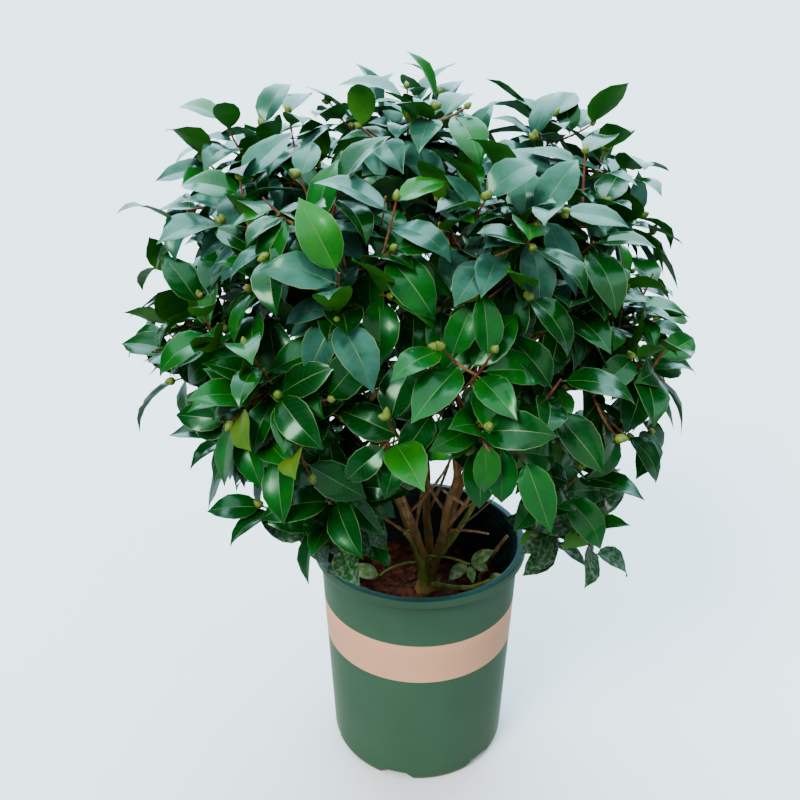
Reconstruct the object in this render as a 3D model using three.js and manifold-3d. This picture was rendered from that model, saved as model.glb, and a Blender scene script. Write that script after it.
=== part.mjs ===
import * as THREE from 'three';
import { mergeVertices } from 'three/addons/utils/BufferGeometryUtils.js';
import Module from 'manifold-3d';

// A camellia shrub growing in a nursery pot. Millimetres, +Z up.
// The origin is the middle of the pot's underside, and -Y faces the viewer.

const wasm = await Module();
wasm.setup();

// Clear space left between two pieces that meet, and the shortest edge that a solid keeps.
const GAP = 0.3;
const SHORTEST_EDGE = 0.004;

// Pot: a thin moulded tub with a rolled rim and a notched foot.
const POT_HEIGHT = 333;
const RIM_RADIUS = 148;
const RIM_DEPTH = 11;
const RIM_INNER_RADIUS = 136;
const RIM_ROUND = 2;
const SHOULDER_RADIUS = 138;
const FOOT_RADIUS = 122;
const FOOT_HEIGHT = 10;
const FOOT_FLARE = 4;
const FOOT_RING_WIDTH = 9;
const WALL = 2.6;
const FLOOR_HEIGHT = 5;
const BASE_PAD_RADIUS = 48;
const NOTCH_COUNT = 6;
const NOTCH_FIRST_AZIMUTH = 254.5;
const NOTCH_FOOT_WIDTH = 50;
const NOTCH_ROOF_WIDTH = 32;
const NOTCH_ROOF = FOOT_HEIGHT - 1;
const NOTCH_OVERCUT = 6;
const POT_SEGMENTS = 36;

// Soil: bark compost that fills the pot to well under the rim.
const SOIL_TOP = 243;
const SOIL_RELIEF = 5;
const SOIL_EDGE = 240;
const SOIL_RINGS = 3;
const TRUNK_SEAT_RADIUS = 26;

// Trunk: a short stump with a root flare, from the soil to the fork.
const TRUNK_FOOT = new THREE.Vector3(10, 2, SOIL_TOP + GAP);
const FORK = new THREE.Vector3(16, 2, 292);
const TRUNK_RADIUS = 13;
const TRUNK_FLARE = 7;
const TRUNK_TOP_RADIUS = 11;
const TRUNK_SIDES = 10;

// Limbs: the stems rise from the fork, and the boughs leave the stems.
const STEM_RADIUS = 6.6;
const STEM_TIP_RADIUS = 3.2;
const BOUGH_RADIUS = 3.6;
const BOUGH_TIP_RADIUS = 2.4;
const STEM_SPREAD_AT_FORK = 7;
const STEM_FOOT_BELOW_FORK = 10;
const STEM_BOW = new THREE.Vector2(14, -20);
const BOUGH_ALONG_STEM = 0.35;
const BOUGH_BEND = 0.25;
const BOUGH_STAGGER = 0.07;
const STEM_SIDES = 5;
const BOUGH_SIDES = 4;
const STEM_STEPS = 5;
const BOUGH_STEPS = 3;

// Crown: masses of foliage set in rings round its centre.
// Azimuth 0 is to the right and 90 to the back. A ring's reach is how far each mass stands out,
// and its spiral is the angle at which its leaves' spirals start.
const CROWN_CENTRE = new THREE.Vector3(-8, 0, 615);
const RINGS = [
  {
    name: 'upper', elevation: 43, azimuth: 18, leaves: 0, spiral: 200,
    reach: [388, 366, 388, 358, 362],
  },
  {
    name: 'top', elevation: 86, azimuth: 120, leaves: 0.7, spiral: 0,
    reach: [350],
  },
  {
    name: 'middle', elevation: 3, azimuth: -26, leaves: 0.4, spiral: 0,
    reach: [348, 346, 350, 350, 376, 342, 346],
  },
  {
    name: 'lower', elevation: -35, azimuth: -40, leaves: 0.15, spiral: 0,
    reach: [372, 335, 330, 280, 325],
  },
];
const ROOT_DEPTH = 0.5;
const SEED_DEPTH = 0.72;
const REACH_SHARPNESS = 14;
const CELL_MARGIN = 0.5;

// The front of the crown is open at the bottom, where the stems show.
const LOWEST_ELEVATION = -58;
const OPEN_FRONT_ELEVATION = -10;
const OPEN_FRONT_AZIMUTH = 282;
const OPEN_FRONT_HALF_WIDTH = 34;

// Shoots: tips spread evenly over the crown, each with a whorl of leaves and at times a flower bud.
const SHOOT_COUNT = 106;
const SHOOT_RISE = 0.12;
const SHOOTS_PER_BUD = 4;
const SPREAD_STEPS = [0.8191725134, 0.6710436067, 0.5497004779];
const LEAF_STANDOFF = 50;
const DEPTH_RANGE = 0.2;
const TOWARD_MASS = 0.08;
const TWIG_SLANT = 0.9;
const TWIG_FOOT_LOWEST = 0.05;
const TWIG_FOOT_HIGHEST = 0.8;
const TWIG_FOOT_SPREAD = 0.1;
const TWIG_BEND = 0.55;
const TWIG_PROBES = [0.3, 0.65, 1];
const UPWARD_BIAS = 0.8;
const MASS_STEM_RADIUS = 3.0;
const TWIG_RADIUS = 2.4;
const TWIG_TIP_RADIUS = 2.0;
const LEADER_INDEX = 2000;
const LEAVES_PER_SHOOT = 6;
const LEAF_INTERNODE = 13;
const FIRST_LEAF_BELOW_TIP = 3;
const LEAF_TURN = 137.5;
const LEAF_LENGTH = 88;
const LEAF_LENGTH_RANGE = 22;
const LEAF_WIDTH_RATIO = 0.64;
const LEAF_OPENING = 52;
const LEAF_OPENING_STEP = 8;
const LEAF_DROOP_TOP = 0.05;
const LEAF_DROOP_SIDE = 0.35;
const LEAF_THICKNESS = 1.8;
const LEAF_WIDEST = 0.45;
const LEAF_FOLD = 0.3;
const LEAF_RECURVE = 0.09;
const LEAF_SINK = 0.6;
const LEAF_TRIES = 12;
const LATE_LEAF_SCALE = 0.78;
const FACING_UP = 0.4;
const FACING_OUT = 0.9;
const BUD_LENGTH = 14;
const BUD_RADIUS = 4.8;
const BUD_AHEAD = 0.35;
const LIMB_CLEARANCE = 2.5;
const LIMB_STRETCHES = 12;

const UP = new THREE.Vector3(0, 0, 1);

const materials = {
  pot: new THREE.MeshStandardMaterial({ color: 0x466e54, roughness: 0.55, metalness: 0 }),
  soil: new THREE.MeshStandardMaterial({ color: 0x371a0c, roughness: 0.95, metalness: 0 }),
  bark: new THREE.MeshStandardMaterial({ color: 0x6b5230, roughness: 0.85, metalness: 0 }),
  foliage: new THREE.MeshStandardMaterial({ color: 0x1f5a2a, roughness: 0.3, metalness: 0 }),
};

// The fractional part of n times a step: a sequence that stays even however far it is carried.
function fraction(n, step) {
  const value = n * step;
  return value - Math.floor(value);
}

// A direction from its azimuth and elevation in degrees.
function direction(azimuth, elevation) {
  const turn = THREE.MathUtils.degToRad(azimuth);
  const lift = THREE.MathUtils.degToRad(elevation);
  return new THREE.Vector3(
    Math.cos(turn) * Math.cos(lift),
    Math.sin(turn) * Math.cos(lift),
    Math.sin(lift),
  );
}

// A unit vector square to an axis, as near as possible to a wished one.
function squareTo(axis, wished) {
  return wished.clone().addScaledVector(axis, -wished.dot(axis)).normalize();
}

// Two unit vectors square to a heading and to each other.
function sidesOf(heading) {
  const side = squareTo(heading, Math.abs(heading.z) < 0.9 ? UP : new THREE.Vector3(0, 1, 0));
  return [side, heading.clone().cross(side)];
}

// A manifold solid from corner points and triangles.
function facetSolid(points, triangles) {
  const vertProperties = new Float32Array(points.flatMap((p) => [p.x, p.y, p.z]));
  const triVerts = new Uint32Array(triangles.flat());
  return new wasm.Manifold(new wasm.Mesh({ numProp: 3, vertProperties, triVerts }));
}

// A manifold solid from a closed three.js geometry, with its shared vertices merged.
function geometrySolid(geometry) {
  geometry.deleteAttribute('normal');
  geometry.deleteAttribute('uv');
  const merged = mergeVertices(geometry, 1e-4);
  const position = merged.getAttribute('position');
  const points = [];
  for (let i = 0; i < position.count; i += 1) {
    points.push(new THREE.Vector3().fromBufferAttribute(position, i));
  }
  const corners = merged.getIndex().array;
  const triangles = [];
  for (let i = 0; i < corners.length; i += 3) {
    const [a, b, c] = [corners[i], corners[i + 1], corners[i + 2]];
    if (a !== b && b !== c && c !== a) triangles.push([a, b, c]);
  }
  return facetSolid(points, triangles);
}

// Whether the corners of a solid all stand apart, so that none of its edges touches another or is too short.
function isSound(solid) {
  const { vertProperties, triVerts } = solid.getMesh();
  const corner = (i) => new THREE.Vector3().fromArray(vertProperties, 3 * i);
  const places = new Set();
  const count = vertProperties.length / 3;
  for (let i = 0; i < count; i += 1) {
    places.add(corner(i).toArray().map((v) => v.toFixed(3)).join(' '));
  }
  if (places.size < count) return false;
  for (let i = 0; i < triVerts.length; i += 3) {
    const [a, b, c] = [corner(triVerts[i]), corner(triVerts[i + 1]), corner(triVerts[i + 2])];
    if (Math.min(a.distanceTo(b), b.distanceTo(c), c.distanceTo(a)) < SHORTEST_EDGE) return false;
  }
  return true;
}

// A solid with a piece fused on, or as it was where the joint would not be sound.
function fused(solid, piece) {
  const joined = solid.add(piece);
  return isSound(joined) ? joined : solid;
}

// A solid of revolution about the Z axis, from (radius, height) pairs that start and end on the axis.
function turnedSolid(profile, segments) {
  const lathe = new THREE.LatheGeometry(profile.map(([r, z]) => new THREE.Vector2(r, z)), segments);
  lathe.rotateX(Math.PI / 2);
  return geometrySolid(lathe);
}

// The named mesh of a solid. Only its largest connected piece is kept.
function namedMesh(name, solid, material) {
  const pieces = solid.decompose();
  pieces.sort((a, b) => b.volume() - a.volume());
  const { vertProperties, triVerts } = pieces[0].getMesh();
  const geometry = new THREE.BufferGeometry();
  geometry.setAttribute('position', new THREE.BufferAttribute(new Float32Array(vertProperties), 3));
  geometry.setIndex(new THREE.BufferAttribute(new Uint32Array(triVerts), 1));
  geometry.computeVertexNormals();
  const mesh = new THREE.Mesh(geometry, material);
  mesh.name = name;
  return mesh;
}

// The point of a quadratic curve through three control points.
function curvePoint([start, middle, end], t) {
  return new THREE.QuadraticBezierCurve3(start, middle, end).getPoint(t);
}

// The direction of that curve.
function curveTangent([start, middle, end], t) {
  return new THREE.QuadraticBezierCurve3(start, middle, end).getTangent(t);
}

// A round of corners about each ring centre, joined to the next round, with a flat face at both ends.
function sweptSolid(centres, tangents, radii, sides) {
  const chord = centres[centres.length - 1].clone().sub(centres[0]).normalize();
  const across = Math.abs(chord.z) < 0.8 ? UP : new THREE.Vector3(1, 0, 0);
  const points = [];
  const triangles = [];
  centres.forEach((centre, ring) => {
    const side = squareTo(tangents[ring], across);
    const other = tangents[ring].clone().cross(side);
    for (let k = 0; k < sides; k += 1) {
      const angle = (2 * Math.PI * k) / sides;
      points.push(centre.clone()
        .addScaledVector(side, radii[ring] * Math.cos(angle))
        .addScaledVector(other, radii[ring] * Math.sin(angle)));
    }
  });
  for (let ring = 0; ring + 1 < centres.length; ring += 1) {
    for (let k = 0; k < sides; k += 1) {
      const a = ring * sides + k;
      const b = ring * sides + ((k + 1) % sides);
      triangles.push([a, b, b + sides], [a, b + sides, a + sides]);
    }
  }
  const last = (centres.length - 1) * sides;
  for (let k = 1; k + 1 < sides; k += 1) {
    triangles.push([0, k + 1, k], [last, last + k, last + k + 1]);
  }
  return facetSolid(points, triangles);
}

// A limb is a quadratic curve with a radius at its foot and its tip, widened by some clear space.
function limbSolid(limb, clear) {
  const centres = [];
  const tangents = [];
  const radii = [];
  for (let i = 0; i <= limb.steps; i += 1) {
    const t = i / limb.steps;
    centres.push(curvePoint(limb.curve, t));
    tangents.push(curveTangent(limb.curve, t));
    const radius = THREE.MathUtils.lerp(limb.radius, limb.tipRadius, t);
    radii.push(radius + clear / Math.cos(Math.PI / limb.sides));
  }
  return sweptSolid(centres, tangents, radii, limb.sides);
}

// Outside radius of the tapered wall at a height.
function wallRadius(z) {
  const under = POT_HEIGHT - RIM_DEPTH;
  const t = (z - FOOT_HEIGHT) / (under - FOOT_HEIGHT);
  return THREE.MathUtils.lerp(FOOT_RADIUS + FOOT_FLARE, SHOULDER_RADIUS, t);
}

// The pot: its outline turned about its axis, with the drainage notches cut through its foot.
function potMesh() {
  const under = POT_HEIGHT - RIM_DEPTH;
  const floorTop = FOOT_HEIGHT + WALL;
  const profile = [
    [0, 0],
    [BASE_PAD_RADIUS, 0],
    [BASE_PAD_RADIUS, FLOOR_HEIGHT],
    [FOOT_RADIUS - FOOT_RING_WIDTH, FLOOR_HEIGHT],
    [FOOT_RADIUS - FOOT_RING_WIDTH, 0],
    [FOOT_RADIUS, 0],
    [wallRadius(FOOT_HEIGHT), FOOT_HEIGHT],
    [wallRadius(under), under],
    [RIM_RADIUS - RIM_ROUND, under],
    [RIM_RADIUS, under + RIM_ROUND],
    [RIM_RADIUS, POT_HEIGHT - RIM_ROUND],
    [RIM_RADIUS - RIM_ROUND, POT_HEIGHT],
    [RIM_INNER_RADIUS + RIM_ROUND, POT_HEIGHT],
    [RIM_INNER_RADIUS, POT_HEIGHT - RIM_ROUND],
    [wallRadius(under) - WALL, under],
    [wallRadius(floorTop) - WALL, floorTop],
    [0, floorTop],
  ];
  let pot = turnedSolid(profile, POT_SEGMENTS);
  for (let k = 0; k < NOTCH_COUNT; k += 1) {
    pot = pot.subtract(notchSolid(NOTCH_FIRST_AZIMUTH + (360 * k) / NOTCH_COUNT));
  }
  return namedMesh('pot', pot, materials.pot);
}

// A block wider at the floor than at its roof, which cuts one drainage notch through the foot ring.
function notchSolid(azimuth) {
  const inner = FOOT_RADIUS - FOOT_RING_WIDTH - NOTCH_OVERCUT;
  const outer = FOOT_RADIUS + FOOT_FLARE + NOTCH_OVERCUT;
  const foot = NOTCH_FOOT_WIDTH / 2;
  const roof = NOTCH_ROOF_WIDTH / 2;
  const outline = new THREE.Shape([
    new THREE.Vector2(-foot, -NOTCH_OVERCUT),
    new THREE.Vector2(foot, -NOTCH_OVERCUT),
    new THREE.Vector2(foot, 0),
    new THREE.Vector2(roof, NOTCH_ROOF),
    new THREE.Vector2(-roof, NOTCH_ROOF),
    new THREE.Vector2(-foot, 0),
  ]);
  const block = new THREE.ExtrudeGeometry(outline, { depth: outer - inner, bevelEnabled: false });
  block.rotateX(Math.PI / 2);
  block.translate(0, -inner, 0);
  block.rotateZ(THREE.MathUtils.degToRad(azimuth + 90));
  return geometrySolid(block);
}

// Height of the soil: gentle mounds, flat under the trunk.
function soilHeight(x, y) {
  const fromTrunk = Math.hypot(x - TRUNK_FOOT.x, y - TRUNK_FOOT.y);
  const lumps = Math.sin(x / 19 + 1.3) * Math.cos(y / 23 - 0.4) + 0.5 * Math.sin((x + y) / 11);
  const fade = THREE.MathUtils.smoothstep(fromTrunk, TRUNK_SEAT_RADIUS, 2 * TRUNK_SEAT_RADIUS);
  return SOIL_TOP - SOIL_RELIEF * fade * (0.5 - 0.4 * lumps);
}

// The soil's corners stand behind those of the pot's wall, so that the gap between them stays even.
// Its top is rings of corners round the trunk, and its edge is level.
function soilMesh() {
  const floor = FOOT_HEIGHT + WALL + GAP;
  const inset = WALL + GAP / Math.cos(Math.PI / POT_SEGMENTS);
  const points = [];
  const triangles = [];
  const addRing = (radius, shift, height) => {
    for (let k = 0; k < POT_SEGMENTS; k += 1) {
      const angle = (2 * Math.PI * k) / POT_SEGMENTS;
      const x = TRUNK_FOOT.x * shift + radius * Math.cos(angle);
      const y = TRUNK_FOOT.y * shift + radius * Math.sin(angle);
      points.push(new THREE.Vector3(x, y, height ?? soilHeight(x, y)));
    }
  };
  const edgeRadius = wallRadius(SOIL_EDGE) - inset;
  addRing(wallRadius(floor) - inset, 0, floor);
  addRing(edgeRadius, 0, SOIL_EDGE);
  for (let ring = SOIL_RINGS - 1; ring > 0; ring -= 1) {
    addRing((edgeRadius * ring) / SOIL_RINGS, 1, undefined);
  }
  points.push(new THREE.Vector3(0, 0, floor), new THREE.Vector3(TRUNK_FOOT.x, TRUNK_FOOT.y, SOIL_TOP));
  const bottom = points.length - 2;
  const top = points.length - 1;
  const last = SOIL_RINGS * POT_SEGMENTS;
  for (let k = 0; k < POT_SEGMENTS; k += 1) {
    const next = (k + 1) % POT_SEGMENTS;
    triangles.push([bottom, next, k]);
    for (let a = 0; a < last; a += POT_SEGMENTS) {
      const b = a + POT_SEGMENTS;
      triangles.push([a + k, a + next, b + next], [a + k, b + next, b + k]);
    }
    triangles.push([last + k, last + next, top]);
  }
  return namedMesh('soil', facetSolid(points, triangles), materials.soil);
}

// The masses in order, each with its direction, reach, seed point and the root where its stem starts.
function crownMasses() {
  const masses = [];
  for (const ring of RINGS) {
    ring.reach.forEach((reach, k) => {
      const azimuth = ring.azimuth + (360 * k) / ring.reach.length;
      const out = direction(azimuth, ring.elevation);
      const name = ring.reach.length > 1 ? `${ring.name}_${k + 1}` : ring.name;
      masses.push({
        name,
        ring,
        order: k,
        azimuth,
        out,
        reach,
        seed: CROWN_CENTRE.clone().addScaledVector(out, SEED_DEPTH * reach),
        root: CROWN_CENTRE.clone().addScaledVector(out, ROOT_DEPTH * reach),
      });
    });
  }
  return masses;
}

const masses = crownMasses();

// How far the crown stands out along a direction: the reach of the near masses, blended.
function reachAlong(out) {
  let total = 0;
  let weight = 0;
  for (const mass of masses) {
    const near = Math.exp(REACH_SHARPNESS * (out.dot(mass.out) - 1));
    total += near * mass.reach;
    weight += near;
  }
  return total / weight;
}

// The lowest elevation that foliage takes at an azimuth.
function lowestElevation(azimuth) {
  const away = Math.abs(((azimuth - OPEN_FRONT_AZIMUTH + 540) % 360) - 180);
  const open = 1 - THREE.MathUtils.smoothstep(away, 0.6 * OPEN_FRONT_HALF_WIDTH, OPEN_FRONT_HALF_WIDTH);
  return THREE.MathUtils.lerp(LOWEST_ELEVATION, OPEN_FRONT_ELEVATION, open);
}

// Whether a point lies in a mass's own space: within the crown's reach, and nearer the mass's seed
// than any other seed by a margin.
function inCell(mass, point, margin) {
  const spoke = point.clone().sub(CROWN_CENTRE);
  if (spoke.length() > reachAlong(spoke.clone().normalize())) return false;
  const own = point.distanceTo(mass.seed);
  return masses.every((other) => {
    if (other === mass) return true;
    const apart = other.seed.distanceTo(mass.seed);
    const beyond = (point.distanceTo(other.seed) ** 2 - own ** 2) / (2 * apart);
    return beyond > margin;
  });
}

// The stems, one to each upper mass, and the boughs, one to each of the other masses.
function crownLimbs() {
  const stems = masses.filter((mass) => mass.ring.name === 'upper').map((mass) => {
    const outward = direction(mass.azimuth, 0);
    const foot = FORK.clone().addScaledVector(outward, STEM_SPREAD_AT_FORK);
    foot.z -= STEM_FOOT_BELOW_FORK;
    const elbow = foot.clone().lerp(mass.root, 0.5).addScaledVector(outward, STEM_BOW.x);
    elbow.z += STEM_BOW.y;
    return {
      name: `stem_${mass.order + 1}`,
      mass,
      curve: [foot, elbow, mass.root],
      radius: STEM_RADIUS,
      tipRadius: STEM_TIP_RADIUS,
      steps: STEM_STEPS,
      sides: STEM_SIDES,
    };
  });
  const boughs = masses.filter((mass) => mass.ring.name !== 'upper').map((mass) => {
    const alignment = (stem) => direction(mass.azimuth, 0).dot(direction(stem.mass.azimuth, 0));
    const stem = stems.reduce((best, next) => (alignment(next) > alignment(best) ? next : best));
    const leave = mass.ring.leaves + BOUGH_STAGGER * (mass.order % 2);
    const foot = curvePoint(stem.curve, leave);
    const along = curveTangent(stem.curve, leave);
    const length = foot.distanceTo(mass.root);
    const elbow = foot.clone().addScaledVector(along, BOUGH_ALONG_STEM * length).lerp(mass.root, BOUGH_BEND);
    return {
      name: `bough_${mass.name}`,
      mass,
      curve: [foot, elbow, mass.root],
      radius: BOUGH_RADIUS,
      tipRadius: BOUGH_TIP_RADIUS,
      steps: BOUGH_STEPS,
      sides: BOUGH_SIDES,
    };
  });
  return [...stems, ...boughs];
}

const limbs = crownLimbs();

// The straight stretches that stand for each limb where its distance is measured.
const limbStretches = limbs.flatMap((limb) => {
  const stretches = [];
  for (let i = 0; i < LIMB_STRETCHES; i += 1) {
    const line = new THREE.Line3(
      curvePoint(limb.curve, i / LIMB_STRETCHES),
      curvePoint(limb.curve, (i + 1) / LIMB_STRETCHES),
    );
    stretches.push({ line, radius: limb.radius });
  }
  return stretches;
});

// The trunk's rings: a flare at the soil, then an even taper up to the fork.
function trunkSolid(clear) {
  const heights = [0, 0.12, 0.35, 0.7, 1];
  const lean = FORK.clone().sub(TRUNK_FOOT);
  const centres = heights.map((t) => TRUNK_FOOT.clone().addScaledVector(lean, t));
  const tangents = heights.map((t) => (t === 0 ? UP.clone() : lean.clone().normalize()));
  const radii = heights.map((t) => (
    THREE.MathUtils.lerp(TRUNK_RADIUS, TRUNK_TOP_RADIUS, t) + TRUNK_FLARE * (1 - t) ** 5
      + clear / Math.cos(Math.PI / TRUNK_SIDES)
  ));
  return sweptSolid(centres, tangents, radii, TRUNK_SIDES);
}

// Each limb is cut 0.3 mm clear of what it grows from and of the limbs before it.
function limbMeshes() {
  const meshes = [namedMesh('trunk', trunkSolid(0), materials.bark)];
  limbs.forEach((limb, i) => {
    let solid = limbSolid(limb, 0).subtract(trunkSolid(GAP));
    for (const earlier of limbs.slice(0, i)) {
      solid = solid.subtract(limbSolid(earlier, GAP));
    }
    meshes.push(namedMesh(limb.name, solid, materials.bark));
  });
  return meshes;
}

// Whether a point with some girth keeps clear of every limb and of the pot.
function isClear(point, girth) {
  const besidePot = Math.hypot(point.x, point.y) > RIM_RADIUS + LIMB_CLEARANCE + girth;
  if (point.z < POT_HEIGHT + LIMB_CLEARANCE + girth && !besidePot) return false;
  return limbStretches.every(({ line, radius }) => {
    const nearest = line.closestPointToPoint(point, true, new THREE.Vector3());
    return nearest.distanceTo(point) > radius + LIMB_CLEARANCE + girth;
  });
}

// A leaf is a folded kite: a blade whose two halves rise from the midrib, and whose tip bends down.
function leafPoints(node, along, normal, length) {
  const side = normal.clone().cross(along);
  const half = (length * LEAF_WIDTH_RATIO) / 2;
  const middle = node.clone().addScaledVector(along, length * LEAF_WIDEST);
  const edge = middle.clone().addScaledVector(normal, half * LEAF_FOLD);
  return [
    node.clone().addScaledVector(along, -LEAF_SINK),
    edge.clone().addScaledVector(side, half),
    node.clone().addScaledVector(along, length).addScaledVector(normal, -length * LEAF_RECURVE),
    edge.clone().addScaledVector(side, -half),
    middle.clone().addScaledVector(normal, LEAF_THICKNESS / 2),
    middle.clone().addScaledVector(normal, -LEAF_THICKNESS / 2),
  ];
}

const KITE_TRIANGLES = [
  [4, 1, 0], [4, 2, 1], [4, 3, 2], [4, 0, 3],
  [5, 0, 1], [5, 1, 2], [5, 2, 3], [5, 3, 0],
];

// The edges and the midrib of a leaf, by corner: 0 is the root, 1 and 3 the sides and 2 the tip.
const LEAF_LINES = [[0, 1], [1, 2], [2, 3], [3, 0], [0, 2]];

// Whether a straight stretch passes through either half of a leaf.
function pierces(from, to, leaf) {
  const way = to.clone().sub(from);
  const ray = new THREE.Ray(from, way.clone().normalize());
  const [root, left, tip, right] = leaf;
  return [[root, left, tip], [root, tip, right]].some(([a, b, c]) => {
    const hit = ray.intersectTriangle(a, b, c, false, new THREE.Vector3());
    return hit !== null && hit.distanceTo(from) < way.length();
  });
}

// Whether a twig passes through a leaf.
function twigPierces(curve, leaf) {
  const halfway = curvePoint(curve, 0.5);
  return pierces(curve[0], halfway, leaf) || pierces(halfway, curve[2], leaf);
}

// Whether two leaves pass through each other: an edge or midrib of one pierces the other.
function leavesCross(one, two) {
  const lines = (leaf) => LEAF_LINES.map(([from, to]) => [leaf[from], leaf[to]]);
  return lines(one).some(([a, b]) => pierces(a, b, two)) || lines(two).some(([a, b]) => pierces(a, b, one));
}

// One leaf of a shoot, or null where no turn of it keeps to the mass's space and clear of the rest.
function shootLeaf(mass, shoot, placed, twigs, order) {
  const { index } = shoot;
  const wobble = fraction(index * 7 + order, SPREAD_STEPS[0]);
  const opening = THREE.MathUtils.degToRad(LEAF_OPENING + LEAF_OPENING_STEP * order);
  const outward = shoot.tip.clone().sub(CROWN_CENTRE).normalize();
  const droop = THREE.MathUtils.lerp(LEAF_DROOP_SIDE, LEAF_DROOP_TOP, Math.max(0, outward.z));
  const below = LEAF_INTERNODE * order + FIRST_LEAF_BELOW_TIP;
  const node = shoot.tip.clone().addScaledVector(shoot.heading, -below);
  const facing = UP.clone().multiplyScalar(FACING_UP).addScaledVector(outward, FACING_OUT);
  const [side, other] = sidesOf(shoot.heading);
  for (let tries = 0; tries < LEAF_TRIES; tries += 1) {
    const turns = mass.ring.spiral + LEAF_TURN * (order + tries) + 360 * fraction(index, SPREAD_STEPS[1]);
    const turn = THREE.MathUtils.degToRad(turns);
    const along = shoot.heading.clone().multiplyScalar(Math.cos(opening))
      .addScaledVector(side, Math.sin(opening) * Math.cos(turn))
      .addScaledVector(other, Math.sin(opening) * Math.sin(turn))
      .addScaledVector(UP, -droop)
      .normalize();
    const scale = tries < LEAF_TRIES / 2 ? 1 : LATE_LEAF_SCALE;
    const length = (LEAF_LENGTH + LEAF_LENGTH_RANGE * wobble) * scale;
    const points = leafPoints(node, along, squareTo(along, facing), length);
    const probes = [...points, points[2].clone().lerp(node, 0.3), points[4].clone().lerp(node, 0.5)];
    if (points.every((p) => inCell(mass, p, CELL_MARGIN)) && probes.every((p) => isClear(p, 0))
      && !placed.some((leaf) => leavesCross(points, leaf))
      && !twigs.some((twig) => twig !== shoot.curve && twigPierces(twig, points))) {
      return points;
    }
  }
  return null;
}

// The shoots of the whole crown, by the place of their tips.
function crownShoots() {
  const shoots = [];
  for (let index = 1; index <= SHOOT_COUNT; index += 1) {
    const azimuth = 360 * fraction(index, SPREAD_STEPS[0]);
    const lowest = Math.sin(THREE.MathUtils.degToRad(LOWEST_ELEVATION));
    const sine = THREE.MathUtils.lerp(lowest, 1, fraction(index, SPREAD_STEPS[1]) ** UPWARD_BIAS);
    const elevation = THREE.MathUtils.radToDeg(Math.asin(sine));
    if (elevation > lowestElevation(azimuth)) {
      const out = direction(azimuth, elevation);
      const depth = 1 - DEPTH_RANGE * fraction(index, SPREAD_STEPS[2]);
      const tip = CROWN_CENTRE.clone().addScaledVector(out, (reachAlong(out) - LEAF_STANDOFF) * depth);
      shoots.push({ index, tip });
    }
  }
  return shoots;
}

// The stem of a mass, from 0.3 mm off its limb's tip out towards the middle of the mass.
function massStem(mass) {
  const limb = limbs.find((each) => each.mass === mass);
  const heading = curveTangent(limb.curve, 1);
  const start = mass.root.clone().addScaledVector(heading, GAP);
  const end = CROWN_CENTRE.clone().addScaledVector(mass.out, mass.reach - LEAF_STANDOFF);
  const elbow = start.clone().addScaledVector(heading, 0.5 * start.distanceTo(end));
  return [start, elbow, end];
}

// A shoot's twig leaves the mass's stem at a slant and curves out to the shoot's tip.
function twigCurve(stem, tip, index) {
  const span = stem[2].clone().sub(stem[0]);
  const length = span.length();
  const ahead = tip.clone().sub(stem[0]).dot(span) / length;
  const aside = Math.sqrt(Math.max(0, tip.distanceTo(stem[0]) ** 2 - ahead ** 2));
  const reachable = (ahead - TWIG_SLANT * aside) / length;
  const wished = THREE.MathUtils.clamp(reachable, TWIG_FOOT_LOWEST, TWIG_FOOT_HIGHEST);
  const leave = wished + TWIG_FOOT_SPREAD * fraction(index, SPREAD_STEPS[0]);
  const foot = curvePoint(stem, leave);
  const elbow = foot.clone().lerp(tip, TWIG_BEND).addScaledVector(UP, -SHOOT_RISE * foot.distanceTo(tip));
  return [foot, elbow, tip];
}

// A bud is eight faces on the shoot's tip, longer than it is wide.
function budPoints(tip, heading) {
  const [side, other] = sidesOf(heading);
  const middle = tip.clone().addScaledVector(heading, BUD_LENGTH * BUD_AHEAD);
  return [
    middle.clone().addScaledVector(heading, -BUD_LENGTH / 2),
    middle.clone().addScaledVector(side, BUD_RADIUS),
    middle.clone().addScaledVector(heading, BUD_LENGTH / 2),
    middle.clone().addScaledVector(side, -BUD_RADIUS),
    middle.clone().addScaledVector(other, -BUD_RADIUS),
    middle.clone().addScaledVector(other, BUD_RADIUS),
  ];
}

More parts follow.
